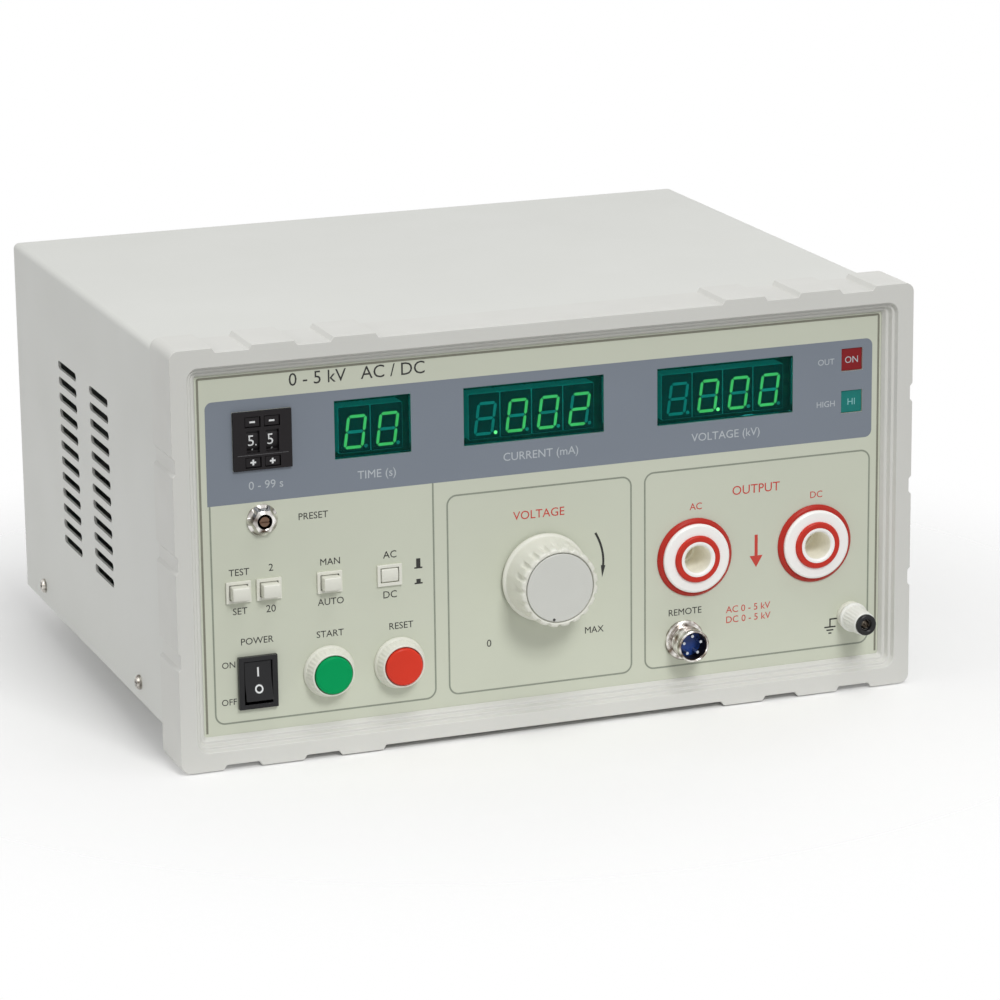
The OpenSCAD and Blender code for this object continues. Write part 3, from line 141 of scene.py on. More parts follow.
class Finish:
    """A procedural material: a shader whose colour, roughness and bump vary over the surface."""

    def __init__(self, name, rough=0.5, metal=0.0):
        self.material = bpy.data.materials.new(name)
        self.material.use_nodes = True
        self.tree = self.material.node_tree
        self.shader = self.tree.nodes["Principled BSDF"]
        self.shader.inputs["Roughness"].default_value = rough
        self.shader.inputs["Metallic"].default_value = metal
        self.where = self.node("ShaderNodeTexCoord").outputs["Object"]

    def node(self, kind, **settings):
        """A new node of the material."""
        made = self.tree.nodes.new(kind)
        for key, value in settings.items():
            setattr(made, key, value)
        return made

    def link(self, source, target):
        self.tree.links.new(source, target)

    def stretched(self, sx, sy, sz):
        """Coordinates stretched along the axes, for brushed or layered patterns."""
        mapping = self.node("ShaderNodeMapping")
        mapping.inputs["Scale"].default_value = (sx, sy, sz)
        self.link(self.where, mapping.inputs["Vector"])
        return mapping.outputs["Vector"]

    def noise(self, size, detail=2.0, where=None):
        """Noise whose features are about so many millimetres across."""
        made = self.node("ShaderNodeTexNoise")
        made.inputs["Scale"].default_value = 1.0 / (size * MM)
        made.inputs["Detail"].default_value = detail
        self.link(where or self.where, made.inputs["Vector"])
        return made.outputs["Fac"]

    def spread(self, source, first, last):
        """A value that goes from first to last as the noise goes from low to high."""
        made = self.node("ShaderNodeMapRange")
        made.inputs["From Min"].default_value = NOISE_LOW
        made.inputs["From Max"].default_value = NOISE_HIGH
        made.inputs["To Min"].default_value = first
        made.inputs["To Max"].default_value = last
        self.link(source, made.inputs["Value"])
        return made.outputs["Result"]

    def blend(self, source, first, last):
        """A colour between two, by the noise."""
        made = self.node("ShaderNodeMix", data_type="RGBA")
        sockets = [socket for socket in made.inputs if socket.type == "RGBA"]
        sockets[0].default_value = first
        sockets[1].default_value = last
        self.link(self.spread(source, 0.0, 1.0), made.inputs["Factor"])
        return [socket for socket in made.outputs if socket.type == "RGBA"][0]

    def colour(self, base, tone=0.03, size=40.0):
        """Base colour with a soft unevenness."""
        mixed = self.blend(self.noise(size, 4.0), shade(base, 1 - tone), shade(base, 1 + tone))
        self.link(mixed, self.shader.inputs["Base Color"])
        return self

    def two_colours(self, source, first, last):
        """Base colour that goes from one colour to another."""
        self.link(self.blend(source, first, last), self.shader.inputs["Base Color"])
        return self

    def wear(self, rough, change, size=15.0):
        """Roughness that varies over the surface."""
        self.link(self.spread(self.noise(size, 5.0), rough - change, rough + change),
                  self.shader.inputs["Roughness"])
        return self

    def bump(self, size, depth):
        """A fine relief, with its grain and its depth in millimetres."""
        made = self.node("ShaderNodeBump")
        made.inputs["Distance"].default_value = depth * MM
        made.inputs["Strength"].default_value = 1.0
        self.link(self.noise(size), made.inputs["Height"])
        self.link(made.outputs["Normal"], self.shader.inputs["Normal"])
        return self

    def put(self, **values):
        """Constant values on the shader's own sockets."""
        for key, value in values.items():
            self.shader.inputs[key.replace("_", " ")].default_value = value
        return self


def plastic(name, base, rough, grain, depth, tone=0.02, shine=0.5):
    """A moulded plastic with a fine grain."""
    finish = Finish(name).colour(base, tone, 25.0).wear(rough, 0.06).put(Specular_IOR_Level=shine)
    return finish.bump(grain, depth).material


def metal(name, base, rough, tone=0.06):
    """A plain worked metal."""
    finish = Finish(name, metal=1.0).colour(base, tone, 6.0).wear(rough, 0.07, 4.0)
    return finish.bump(0.25, 0.004).material


def plating(name, light, dark, size, rough=0.16):
    """Bright plated metal whose base colour is painted with light and dark patches: a painted reflection of
    a room.
    """
    finish = Finish(name, metal=1.0)
    finish.two_colours(finish.noise(size, 1.0), dark, light).wear(rough, 0.05, 4.0)
    return finish.bump(0.25, 0.004).material


def ink(name, base):
    """Printing ink."""
    finish = Finish(name).colour(base, 0.05, 2.0).wear(0.5, 0.08, 3.0)
    return finish.bump(0.2, 0.004).material


CASE_GREY = rgb(214, 215, 210)
BEZEL_GREY = rgb(212, 212, 207)
PANEL_GREEN = rgb(204, 208, 191)
CREAM = rgb(226, 226, 215)
BAND_GREY = rgb(122, 130, 141)

case_paint = (Finish("case_paint").colour(CASE_GREY, 0.012, 60.0).wear(0.42, 0.05, 30.0)
              .bump(0.7, 0.02).material)
bezel_plastic = plastic("bezel_plastic", BEZEL_GREY, 0.45, 0.45, 0.014, 0.012)
panel_paint = (Finish("panel_paint").colour(PANEL_GREEN, 0.012, 50.0).wear(0.48, 0.05)
               .bump(0.3, 0.008).material)
cream_plastic = plastic("cream_plastic", CREAM, 0.36, 0.3, 0.006)
black_plastic = plastic("black_plastic", rgb(26, 23, 25), 0.4, 0.3, 0.01, 0.08, 0.2)
gloss_black = plastic("gloss_black", rgb(26, 26, 28), 0.2, 0.6, 0.004, 0.08, 0.3)
rubber = plastic("rubber", rgb(34, 34, 34), 0.75, 0.5, 0.03, 0.1)
jack_red = plastic("jack_red", rgb(198, 48, 34), 0.3, 0.5, 0.004, 0.03, 0.25)
# The flanges' red is the rings' red made darker: painted shade
flange_red = plastic("flange_red", rgb(180, 42, 30), 0.3, 0.5, 0.004, 0.03, 0.25)
jack_white = plastic("jack_white", rgb(250, 249, 246), 0.32, 0.5, 0.004, 0.01)
green_cap = plastic("green_cap", rgb(0, 154, 88), 0.34, 0.4, 0.005, 0.04, 0.08)
red_cap = plastic("red_cap", rgb(216, 56, 36), 0.34, 0.4, 0.005, 0.04, 0.2)
blue_insert = plastic("blue_insert", rgb(28, 66, 142), 0.3, 0.3, 0.006, 0.05, 0.4)
nut_white = plastic("nut_white", rgb(232, 233, 228), 0.34, 0.4, 0.006, 0.015)
relay_plastic = plastic("relay_plastic", rgb(56, 92, 158), 0.45, 0.3, 0.01, 0.04)
coil_tape = plastic("coil_tape", rgb(214, 194, 148), 0.5, 1.2, 0.03, 0.06)
module_face = plastic("module_face", rgb(52, 55, 54), 0.45, 0.3, 0.006, 0.06, 0.3)
segment_off = plastic("segment_off", rgb(226, 231, 229), 0.5, 0.3, 0.004)
# Nickel, chrome and screw steel: bright metal with a painted reflection in its colour
nickel = plating("nickel", rgb(248, 246, 242), rgb(118, 104, 92), 3.0)
pin_silver = metal("pin_silver", rgb(196, 200, 206), 0.3)
chrome = plating("chrome", rgb(252, 250, 246), rgb(84, 68, 58), 4.5, 0.12)
screw_steel = plating("screw_steel", rgb(228, 224, 216), rgb(112, 106, 98), 2.0, 0.26)
bronze = metal("bronze", rgb(112, 90, 76), 0.36, 0.16)
dark_plate = metal("dark_plate", rgb(66, 54, 48), 0.4, 0.12)
zinc = metal("zinc", rgb(196, 198, 200), 0.34)
brass = metal("brass", rgb(214, 178, 104), 0.26)
dark_gap = plastic("dark_gap", rgb(30, 28, 28), 0.6, 0.3, 0.01, 0.1)

knob_disc = (Finish("knob_disc").colour(rgb(209, 210, 204), 0.012, 12.0).wear(0.34, 0.04, 5.0)
             .bump(0.2, 0.004).material)
layered = Finish("core_steel", 0.5, 0.6)
layers = layered.noise(0.6, 1.0, layered.stretched(0.02, 1.0, 0.02))
core_steel = layered.two_colours(layers, rgb(60, 62, 66), rgb(104, 106, 110)).bump(0.5, 0.02).material
wound = Finish("copper", 0.3, 0.9)
turns = wound.noise(0.9, 1.0, wound.stretched(1.0, 0.05, 1.0))
copper = wound.two_colours(turns, rgb(140, 74, 40), rgb(206, 128, 78)).bump(0.9, 0.08).material
laminate = Finish("board", 0.35)
laminate.two_colours(laminate.noise(3.0, 1.0), rgb(18, 86, 54), rgb(34, 122, 78))
board = laminate.bump(1.0, 0.02).material


def lit(name, base, glow, strength):
    """A translucent plastic that glows: from within for the display's segments and points and the indicator
    lamps, and as painted light for the digit modules' bodies and the jacks' bore sheet.
    """
    finish = Finish(name, 0.4).colour(base, 0.05, 2.0).bump(0.4, 0.005)
    return finish.put(Emission_Color=glow, Emission_Strength=strength, Specular_IOR_Level=0.25).material


filter_green = Finish("filter_green", 0.04).colour((0.035, 0.43, 0.39, 1.0), 0.04, 9.0).bump(6.0, 0.004)
filter_green = filter_green.put(Transmission_Weight=0.96, IOR=1.1).material
# The digit modules' grey bodies glow faintly teal: painted light, they are no lamps
module_grey = lit("module_grey", rgb(205, 208, 205), (0.1, 0.6, 0.55, 1.0), 0.2)
segment_lit = lit("segment_lit", rgb(190, 220, 190), (1.0, 0.62, 0.06, 1.0), 1.4)
point_lit = lit("point_lit", rgb(220, 225, 190), (1.0, 0.5, 0.12, 1.0), 5.0)
# The jacks' bore sheet: a beige tint as painted shade, and a faint glow of painted light
jack_beige = lit("jack_beige", rgb(244, 242, 231), rgb(246, 238, 210), 0.06)
lamp_red = lit("lamp_red", rgb(124, 20, 26), rgb(170, 30, 34), 0.05)
lamp_green = lit("lamp_green", rgb(20, 114, 108), rgb(20, 110, 100), 0.06)
ink_black = ink("ink_black", rgb(30, 30, 27))
ink_white = ink("ink_white", rgb(226, 228, 228))
ink_pale = ink("ink_pale", rgb(184, 190, 195))
ink_seam = ink("ink_seam", rgb(96, 96, 98))
ink_teal = ink("ink_teal", rgb(134, 192, 192))
ink_red = ink("ink_red", rgb(196, 62, 50))
ink_line = ink("ink_line", rgb(140, 146, 132))
# Dark line at the panel's top and sides: a joint with painted shadow
ink_joint = ink("ink_joint", rgb(126, 126, 112))
band_paint = (Finish("band_paint").colour(BAND_GREY, 0.015, 30.0).wear(0.48, 0.05)
              .bump(0.3, 0.006).material)

SOLID_FINISH = (
    (bezel_plastic, ("front_bezel",)),
    (panel_paint, ("front_panel",)),
    (case_paint, ("top_cover", "base_pan", "rear_panel")),
    (rubber, ("rear_feet",)),
    (screw_steel, ("case_screws",)),
    (filter_green, ("display_windows",)),
    (module_grey, ("display_digits",)),
    (board, ("display_board", "control_board")),
    (brass, ("board_standoffs", "brush_arm", "jack_contacts", "inlet_pins")),
    (black_plastic, ("thumbwheel_housing", "tens_wheel", "units_wheel", "tens_minus_key",
                     "tens_plus_key", "units_minus_key", "units_plus_key", "push_switches",
                     "inlet_housing", "fuse_drawer")),
    (lamp_red, ("output_lamp",)),
    (lamp_green, ("limit_lamp",)),
    (dark_plate, ("preset_pot",)),
    (chrome, ("preset_nut",)),
    (bronze, ("preset_shaft",)),
    (cream_plastic, ("latch_switches", "test_button", "range_button", "timer_button",
                     "output_button", "push_collars", "voltage_knob", "ground_collar")),
    (gloss_black, ("rocker_frame", "power_rocker", "ground_tip")),
    (green_cap, ("start_button",)),
    (red_cap, ("reset_button",)),
    (core_steel, ("variac_core", "transformer_core")),
    (copper, ("variac_winding",)),
    (zinc, ("variac_bracket", "variac_shaft")),
    (knob_disc, ("knob_cap",)),
    (flange_red, ("jack_flanges",)),
    (jack_white, ("jack_insulators",)),
    (jack_red, ("jack_rings",)),
    (nickel, ("connector_shell", "ground_stud", "ground_washer")),
    (blue_insert, ("connector_insert",)),
    (pin_silver, ("connector_pins",)),
    (nut_white, ("ground_nut",)),
    (coil_tape, ("transformer_coil",)),
    (relay_plastic, ("board_parts",)),
)
for finish, names in SOLID_FINISH:
    for name in names:
        nodes[name].data.materials.clear()
        nodes[name].data.materials.append(finish)

# Edges that turn by more than the first angle get a bevel.
# Those that turn by more than the second are shaded sharp.
BEVEL_FROM = math.radians(40)
SHARP = math.radians(50)
smooth_by_angle = bpy.data.node_groups.new("smooth_by_angle", "GeometryNodeTree")
for way, kind in (("INPUT", "NodeGroupInput"), ("OUTPUT", "NodeGroupOutput")):
    smooth_by_angle.interface.new_socket("Geometry", in_out=way, socket_type="NodeSocketGeometry")
    smooth_by_angle.nodes.new(kind)
all_smooth = smooth_by_angle.nodes.new("GeometryNodeSetShadeSmooth")
some_sharp = smooth_by_angle.nodes.new("GeometryNodeSetShadeSmooth")
some_sharp.domain = "EDGE"
some_sharp.inputs["Shade Smooth"].default_value = False
edge_angle = smooth_by_angle.nodes.new("GeometryNodeInputMeshEdgeAngle")
is_sharp = smooth_by_angle.nodes.new("FunctionNodeCompare")
is_sharp.operation = "GREATER_THAN"
is_sharp.inputs["B"].default_value = SHARP
for source, target in (
        (smooth_by_angle.nodes["Group Input"].outputs[0], all_smooth.inputs["Geometry"]),
        (all_smooth.outputs["Geometry"], some_sharp.inputs["Geometry"]),
        (edge_angle.outputs["Unsigned Angle"], is_sharp.inputs["A"]),
        (is_sharp.outputs["Result"], some_sharp.inputs["Selection"]),
        (some_sharp.outputs["Geometry"], smooth_by_angle.nodes["Group Output"].inputs[0])):
    smooth_by_angle.links.new(source, target)


def soften(node, width):
    """Rounds a solid's sharp edges by a bevel, and keeps its flat faces flat."""
    modifiers = nodes[node].modifiers
    weld = modifiers.new("weld", "WELD")
    weld.merge_threshold = 0.002 * MM
    flat = modifiers.new("flat", "DECIMATE")
    flat.decimate_type = "DISSOLVE"
    flat.angle_limit = math.radians(0.5)
    bevel = modifiers.new("bevel", "BEVEL")
    bevel.width = width * MM
    bevel.segments = 3
    bevel.limit_method = "ANGLE"
    bevel.angle_limit = BEVEL_FROM
    modifiers.new("smooth", "NODES").node_group = smooth_by_angle
    normals = modifiers.new("normals", "WEIGHTED_NORMAL")
    normals.mode = "FACE_AREA"
    normals.weight = 90
    normals.keep_sharp = True


# Mesh builders

def finish_piece(name, bm, material, body, slot, stands_for=(), crease=38.0):
    """Turns built mesh data into a piece that rides on a body."""
    bmesh.ops.remove_doubles(bm, verts=bm.verts, dist=1e-7)
    bmesh.ops.recalc_face_normals(bm, faces=bm.faces)
    mesh = bpy.data.meshes.new(name)
    bm.to_mesh(mesh)
    bm.free()
    mesh.materials.append(material)
    mesh.polygons.foreach_set("use_smooth", [True] * len(mesh.polygons))
    mesh.set_sharp_from_angle(angle=math.radians(crease))
    piece = bpy.data.objects.new(name, mesh)
    scene.collection.objects.link(piece)
    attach(piece, body)
    if stands_for:
        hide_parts(*stands_for)


def rounded_profile(points, radius, steps=4):
    """A profile with its inner corners rounded."""
    made = [points[0]]
    for before, corner, after in zip(points, points[1:], points[2:]):
        before, corner, after = Vector(before), Vector(corner), Vector(after)
        first, last = before - corner, after - corner
        reach = min(radius, 0.45 * first.length, 0.45 * last.length)
        start, end = corner + first.normalized() * reach, corner + last.normalized() * reach
        for k in range(steps + 1):
            t = k / steps
            point = start * (1 - t) ** 2 + corner * 2 * t * (1 - t) + end * t ** 2
            made.append((point.x, point.y))
    made.append(points[-1])
    return made


def lathe(bm, at, profile, segments=96, shape=None):
    """Turns a profile of radius and height out of the panel about a place on the panel."""
    rings = []
    for radius, out in profile:
        if radius == 0:
            rings.append([bm.verts.new(spot(*at, out))])
            continue
        ring = []
        for k in range(segments):
            angle = math.tau * k / segments
            reach = shape(radius, out, angle) if shape else radius
            x, z = at[0] + reach * math.cos(angle), at[1] + reach * math.sin(angle)
            ring.append(bm.verts.new(spot(x, z, out)))
        rings.append(ring)
    for inner, outer in zip(rings, rings[1:]):
        for k in range(segments):
            j = (k + 1) % segments
            first = (inner[k % len(inner)], inner[j % len(inner)])
            last = (outer[j % len(outer)], outer[k % len(outer)])
            loop = list(dict.fromkeys(first + last))
            if len(loop) > 2:
                bm.faces.new(loop)


def turned(name, places, profile, material, body, slot, stands_for=(), radius=0.25, segments=96,
           shape=None):
    """A piece turned from one profile at one or more places on the panel."""
    bm = bmesh.new()
    for at in places:
        lathe(bm, at, rounded_profile(profile, radius), segments, shape)
    finish_piece(name, bm, material, body, slot, stands_for)


def prism(bm, outline, near, far, where=spot):
    """A flat shape given by its outline in x and z, from one height above the panel to another."""
    bottom = [bm.verts.new(where(x, z, near)) for x, z in outline]
    top = [bm.verts.new(where(x, z, far)) for x, z in outline]
    bm.faces.new(bottom)
    bm.faces.new(top)
    for k in range(len(outline)):
        j = (k + 1) % len(outline)
        bm.faces.new((bottom[k], bottom[j], top[j], top[k]))


def arc(middle, radius, first, last, steps=8):
    """Points of an arc, with its angles in degrees."""
    points = []
    for k in range(steps + 1):
        angle = math.radians(first + (last - first) * k / steps)
        points.append((middle[0] + radius * math.cos(angle), middle[1] + radius * math.sin(angle)))
    return points


def rounded_box(left, right, bottom, top, radius, steps=6):
    """Outline of a rectangle with round corners."""
    return (arc((right - radius, top - radius), radius, 0, 90, steps)
            + arc((left + radius, top - radius), radius, 90, 180, steps)
            + arc((left + radius, bottom + radius), radius, 180, 270, steps)
            + arc((right - radius, bottom + radius), radius, 270, 360, steps))


INK_LOW = 0.01
INK_HIGH = 0.05


def ribbon(bm, points, width, closed=False, near=INK_LOW, far=INK_HIGH):
    """A printed line of even width along points in x and z."""
    count = len(points)
    sides = []
    for k, point in enumerate(points):
        before = Vector(points[k - 1]) if closed or k else Vector(point)
        after = Vector(points[(k + 1) % count]) if closed or k + 1 < count else Vector(point)
        along = (after - before).normalized()
        across = Vector((-along.y, along.x)) * width / 2
        sides.append((Vector(point) + across, Vector(point) - across))
    corners = [[bm.verts.new(spot(p.x, p.y, out)) for p in side for out in (near, far)] for side in sides]
    last = count if closed else count - 1
    for k in range(last):
        a, b = corners[k], corners[(k + 1) % count]
        for i, j in ((0, 1), (1, 3), (3, 2), (2, 0)):
            bm.faces.new((a[i], a[j], b[j], b[i]))
    if not closed:
        bm.faces.new((corners[0][0], corners[0][1], corners[0][3], corners[0][2]))
        bm.faces.new((corners[-1][0], corners[-1][1], corners[-1][3], corners[-1][2]))


# Height of a capital letter of the built-in font, as a share of its size
CAP_SHARE = 0.729


def letters(bm, text, cap, where, near=INK_LOW, far=INK_HIGH):
    """Letters with capitals so many millimetres high; where turns x, z and height into a point."""
    curve = bpy.data.curves.new("letters", "FONT")
    curve.body = text
    curve.size = cap / CAP_SHARE
    curve.align_x = "CENTER"
    curve.resolution_u = 3
    curve.extrude = (far - near) / 2
    holder = bpy.data.objects.new("letters", curve)
    scene.collection.objects.link(holder)
    bpy.context.view_layer.update()
    mesh = bpy.data.meshes.new_from_object(holder.evaluated_get(bpy.context.evaluated_depsgraph_get()))
    for vertex in mesh.vertices:
        x, y, depth = vertex.co
        vertex.co = where(x, y - cap / 2, depth + (near + far) / 2)
    bm.from_mesh(mesh)
    bpy.data.objects.remove(holder)
    bpy.data.curves.remove(curve)
    bpy.data.meshes.remove(mesh)


def at_panel(x, z):
    """A place on the panel that letters are printed at."""
    return lambda u, v, out: spot(x + u, z + v, out)


def on_front(node):
    """A place on the front of a flat-faced node, about its middle."""
    x, z = place(node)
    out = out_of(node)
    return lambda u, v, height: spot(x + u, z + v, out + height)


# How far out of the panel a ray starts
RAY_FROM = 60.0


def onto(node, x, z):
    """A place on a node's curved front, found by a ray from in front of it."""
    def where(u, v, out):
        hit, point, _, _ = nodes[node].ray_cast(spot(x + u, z + v, RAY_FROM), Vector((0, 1, 0)))
        return point + Vector((0, -out * MM, 0)) if hit else spot(x + u, z + v, out)
    return where


def bar_outline(half_w, half_h):
    """Outline of a plain bar about the middle of its place."""
    return [(-half_w, -half_h), (half_w, -half_h), (half_w, half_h), (-half_w, half_h)]


def mirrored(x, half, tip=()):
    """An outline that is the same on both sides of x, from its right half and its tip's height."""
    return [(x + u, z) for u, z in half] + [(x, z) for z in tip] + [(x - u, z) for u, z in reversed(half)]


# Voltage knob: a smooth skirt, finger flutes that run out behind the front rim, and a satin cap
KNOB_FLUTES, FLUTE_START, FLUTE_RUN, FLUTE_DEPTH = 20, 10.5, 2.2, 0.9
knob_at = place("voltage_knob")
knob_r = (high("voltage_knob").x - low("voltage_knob").x) / 2
knob_out = out_of("voltage_knob")
cap_r = (high("knob_cap").x - low("knob_cap").x) / 2
CAP_BACK = knob_out - 1.4


def knob_shape(radius, out, angle):
    """The knob's radius with its finger flutes."""
    if radius < cap_r + 1.0:
        return radius
    wave = max(0.0, math.cos(angle * KNOB_FLUTES)) ** 0.8
    share = min(1.0, max(0.0, (out - FLUTE_START) / FLUTE_RUN))
    return radius - FLUTE_DEPTH * wave * share


knob_profile = [(0, 1.0), (knob_r - 1.2, 1.0), (knob_r, 1.2), (knob_r, 2.4), (knob_r - 1.1, 3.2)]
knob_profile = rounded_profile(knob_profile + [(knob_r - 1.7, 10.4)], 0.4)
knob_profile += [(knob_r - 1.72, FLUTE_START + 0.4 * k) for k in range(1, 7)]
knob_profile += [
    (knob_r - 1.75, knob_out - 2.0), (knob_r - 1.85, knob_out - 1.1), (knob_r - 2.2, knob_out - 0.35),
    (knob_r - 2.7, knob_out - 0.05), (cap_r + 0.9, knob_out), (cap_r + 0.5, knob_out - 0.1),
    (cap_r + 0.35, knob_out - 0.4), (cap_r + 0.35, CAP_BACK - 0.1), (0, CAP_BACK - 0.1),
]
bm = bmesh.new()
lathe(bm, knob_at, knob_profile, 240, knob_shape)
finish_piece("knob_body", bm, cream_plastic, "voltage_control", "cream_plastic", ["voltage_knob"], 50.0)
bm = bmesh.new()
cap_profile = [(0, CAP_BACK), (cap_r - 0.1, CAP_BACK), (cap_r, knob_out - 0.3),
               (cap_r - 0.35, knob_out - 0.05), (cap_r * 0.6, knob_out), (0, knob_out)]
lathe(bm, knob_at, rounded_profile(cap_profile, 0.25), 128)
finish_piece("knob_face", bm, knob_disc, "voltage_control", "knob_disc", ["knob_cap"])
# The knob's dark dot, with its turn in degrees from the top
INDEX_TURN, INDEX_IN, INDEX_R, INDEX_D, INDEX_OUT = 192.0, 0.9, 0.6, 0.3, 0.02
index_angle = math.radians(90.0 - INDEX_TURN)
index_at = (knob_at[0] + (cap_r - INDEX_IN) * math.cos(index_angle),
            knob_at[1] + (cap_r - INDEX_IN) * math.sin(index_angle))
bm = bmesh.new()
index_profile = [(0, knob_out - INDEX_D), (INDEX_R, knob_out - INDEX_D),
                 (INDEX_R, knob_out + INDEX_OUT), (0, knob_out + INDEX_OUT)]
lathe(bm, index_at, rounded_profile(index_profile, 0.05), 24)
finish_piece("knob_index", bm, dark_gap, "voltage_control", "black_plastic")

# High voltage jacks: a red flange, a white insulator with a thin beige sheet in its bore, painted shade
# with a faint painted glow, and a red ring around its boss
mounts = {mount["name"]: mount for mount in frame["record"]["mounts"]}
flange_r = half_height("jack_flanges")
disc_r = half_height("jack_insulators")
ring_r = half_height("jack_rings")
flange_out, ring_out = out_of("jack_flanges"), out_of("jack_rings")
disc_out = ring_out - (high("jack_rings").y - low("jack_rings").y)
seat_r, boss_r, barrel_r = disc_r - 1.4, ring_r - 2.5, ring_r + 0.8
bore_r = mounts["ac_jack"]["dims"]["r_mm"]
barrel_l = depth_behind("jack_insulators")
BORE_D, DEEP_D, MOUTH, CONTACT_R, PAINTED_SHEET_GAP = 13.0, 22.0, 0.7, 2.0, 0.02
socket_r, painted_sheet_r = CONTACT_R + 0.05, bore_r - PAINTED_SHEET_GAP
jacks = pair("jack_flanges", flange_r)
# The rims take the darker red of painted shade
turned("jack_rims", jacks,
       [(seat_r, 0), (flange_r, 0), (flange_r, 0.3 * flange_out), (flange_r - 1.1, flange_out),
        (seat_r, flange_out), (seat_r, 0)],
       flange_red, "tester", "jack_red", ["jack_flanges"])
turned("jack_bodies", jacks,
       [(CONTACT_R, -barrel_l), (barrel_r, -barrel_l), (barrel_r, 0), (seat_r - 0.05, 0),
        (seat_r - 0.05, flange_out + 0.01), (disc_r, flange_out + 0.01), (disc_r, disc_out - 0.6),
        (disc_r - 0.8, disc_out), (boss_r, disc_out), (boss_r, ring_out), (bore_r + MOUTH, ring_out),
        (bore_r, ring_out - MOUTH), (bore_r, -DEEP_D), (CONTACT_R, -DEEP_D), (CONTACT_R, -barrel_l)],
       jack_white, "tester", "white_insulator", ["jack_insulators"], 0.2)
# A thin beige sheet inside each bore, and the socket at its end: their tint is painted shade and their
# faint glow painted light
turned("jack_sockets", jacks,
       [(socket_r, 1 - DEEP_D), (bore_r - 1, 1 - DEEP_D), (bore_r - 1, -BORE_D), (bore_r - 0.06, -BORE_D),
        (bore_r - 0.06, ring_out - MOUTH), (painted_sheet_r, ring_out - MOUTH - 0.1),
        (painted_sheet_r, PAINTED_SHEET_GAP - DEEP_D), (socket_r, PAINTED_SHEET_GAP - DEEP_D), (socket_r, 1 - DEEP_D)],
       jack_beige, "tester", "white_insulator", radius=0.03)
turned("jack_inner_rings", jacks,
       [(boss_r + 0.03, disc_out + 0.01), (ring_r, disc_out + 0.01), (ring_r, disc_out + 0.6),
        (ring_r - 0.5, ring_out), (boss_r + 0.03, ring_out), (boss_r + 0.03, disc_out + 0.01)],
       jack_red, "tester", "jack_red", ["jack_rings"], 0.2)

# Start and reset buttons in their collars
collar_r, collar_out = half_height("push_collars"), out_of("push_collars")
button_r, button_out = half_height("start_button"), out_of("start_button")
COLLAR_RIBS, RIBS_FROM, RIB_D = 36, 1.9, 0.09
PLUNGER_R, HEAD_D = 5.0, 5.3
collar_bore = button_r + 0.3
neck_r = collar_bore + 1.2
flange_edge = collar_r - 0.45
collar_tail, plunger_tail = depth_behind("push_collars"), depth_behind("start_button")
head_back = button_out - HEAD_D


def ribbed(radius, out, angle):
    """The collar's radius with its faint ribs above the base flange."""
    if out < RIBS_FROM or radius < collar_bore + 0.8:
        return radius
    return radius - RIB_D * (1 + math.cos(COLLAR_RIBS * angle))


collars = pair("push_collars", collar_r)
turned("button_collars", collars,
       [(collar_bore, -collar_tail), (neck_r, -collar_tail), (neck_r, -0.01), (flange_edge, -0.01),
        (flange_edge, 0.9), (flange_edge - 0.4, 1.6), (flange_edge - 0.6, 1.8), (flange_edge - 0.8, 3.0),
        (collar_bore + 0.9, collar_out - 0.5), (collar_bore + 0.6, collar_out), (collar_bore, collar_out),
        (collar_bore, -collar_tail)],
       cream_plastic, "tester", "cream_plastic", ["push_collars"], 0.45, 216, ribbed)
for name, cap, slot in (("start_button", green_cap, "green_cap"), ("reset_button", red_cap, "red_cap")):
    turned(name + "_cap", [place(name)],
           [(0, -plunger_tail), (PLUNGER_R, -plunger_tail), (PLUNGER_R, head_back),
            (button_r - 0.1, head_back), (button_r, button_out - 0.6), (button_r - 0.5, button_out - 0.06),
            (button_r * 0.7, button_out), (0, button_out)],
           cap, name, slot, [name], 0.4)

# Preset: a six-sided nut, and a slotted stem in its dark hole
preset_at = place("preset_nut")
preset_r, preset_out = half_height("preset_nut"), out_of("preset_nut")
BUSH_R, BUSH_OUT, LIP_R, STEM_R, STEM_SLOT = 4.15, 3.65, 3.1, 2.0, 0.8
BASE_H, SIDE_OUT, TOP_R = 0.9, 1.9, 4.9
stem_top, stem_tail = preset_out - 0.4, -depth_behind("preset_shaft")
slot_bottom = stem_top - 0.7


def six_sided(radius, out, angle):
    """The nut's radius, which goes from a round base to six flat sides."""
    if radius < BUSH_R + 0.1:
        return radius
    share = min(max(out - BASE_H, 0.0), 1.0)
    flat = math.cos(math.pi / 6) / math.cos(angle % (math.pi / 3) - math.pi / 6)
    return radius * (1 - share + share * flat)


nut_profile = [
    (BUSH_R, 0), (preset_r, 0), (preset_r, BASE_H), (preset_r - 0.4, SIDE_OUT), (TOP_R, BUSH_OUT),
    (LIP_R + 0.2, preset_out), (LIP_R, preset_out - 0.1), (LIP_R, BUSH_OUT), (BUSH_R, BUSH_OUT),
    (BUSH_R, 0),
]
bm = bmesh.new()
lathe(bm, preset_at, nut_profile, 96, six_sided)
finish_piece("preset_nut_body", bm, chrome, "tester", "nickel", ["preset_nut"], 18.0)
bm = bmesh.new()
lathe(bm, preset_at, [(0, stem_tail), (STEM_R, stem_tail), (STEM_R, slot_bottom), (0, slot_bottom)], 48)
slot_angle = math.degrees(math.asin(STEM_SLOT / 2 / STEM_R))
for turned_by in (0, 180):
    prism(bm, arc(preset_at, STEM_R, turned_by + slot_angle, turned_by + 180 - slot_angle, 16),
          slot_bottom - 0.1, stem_top)
finish_piece("preset_stem", bm, bronze, "preset_shaft", "brass", ["preset_shaft"])

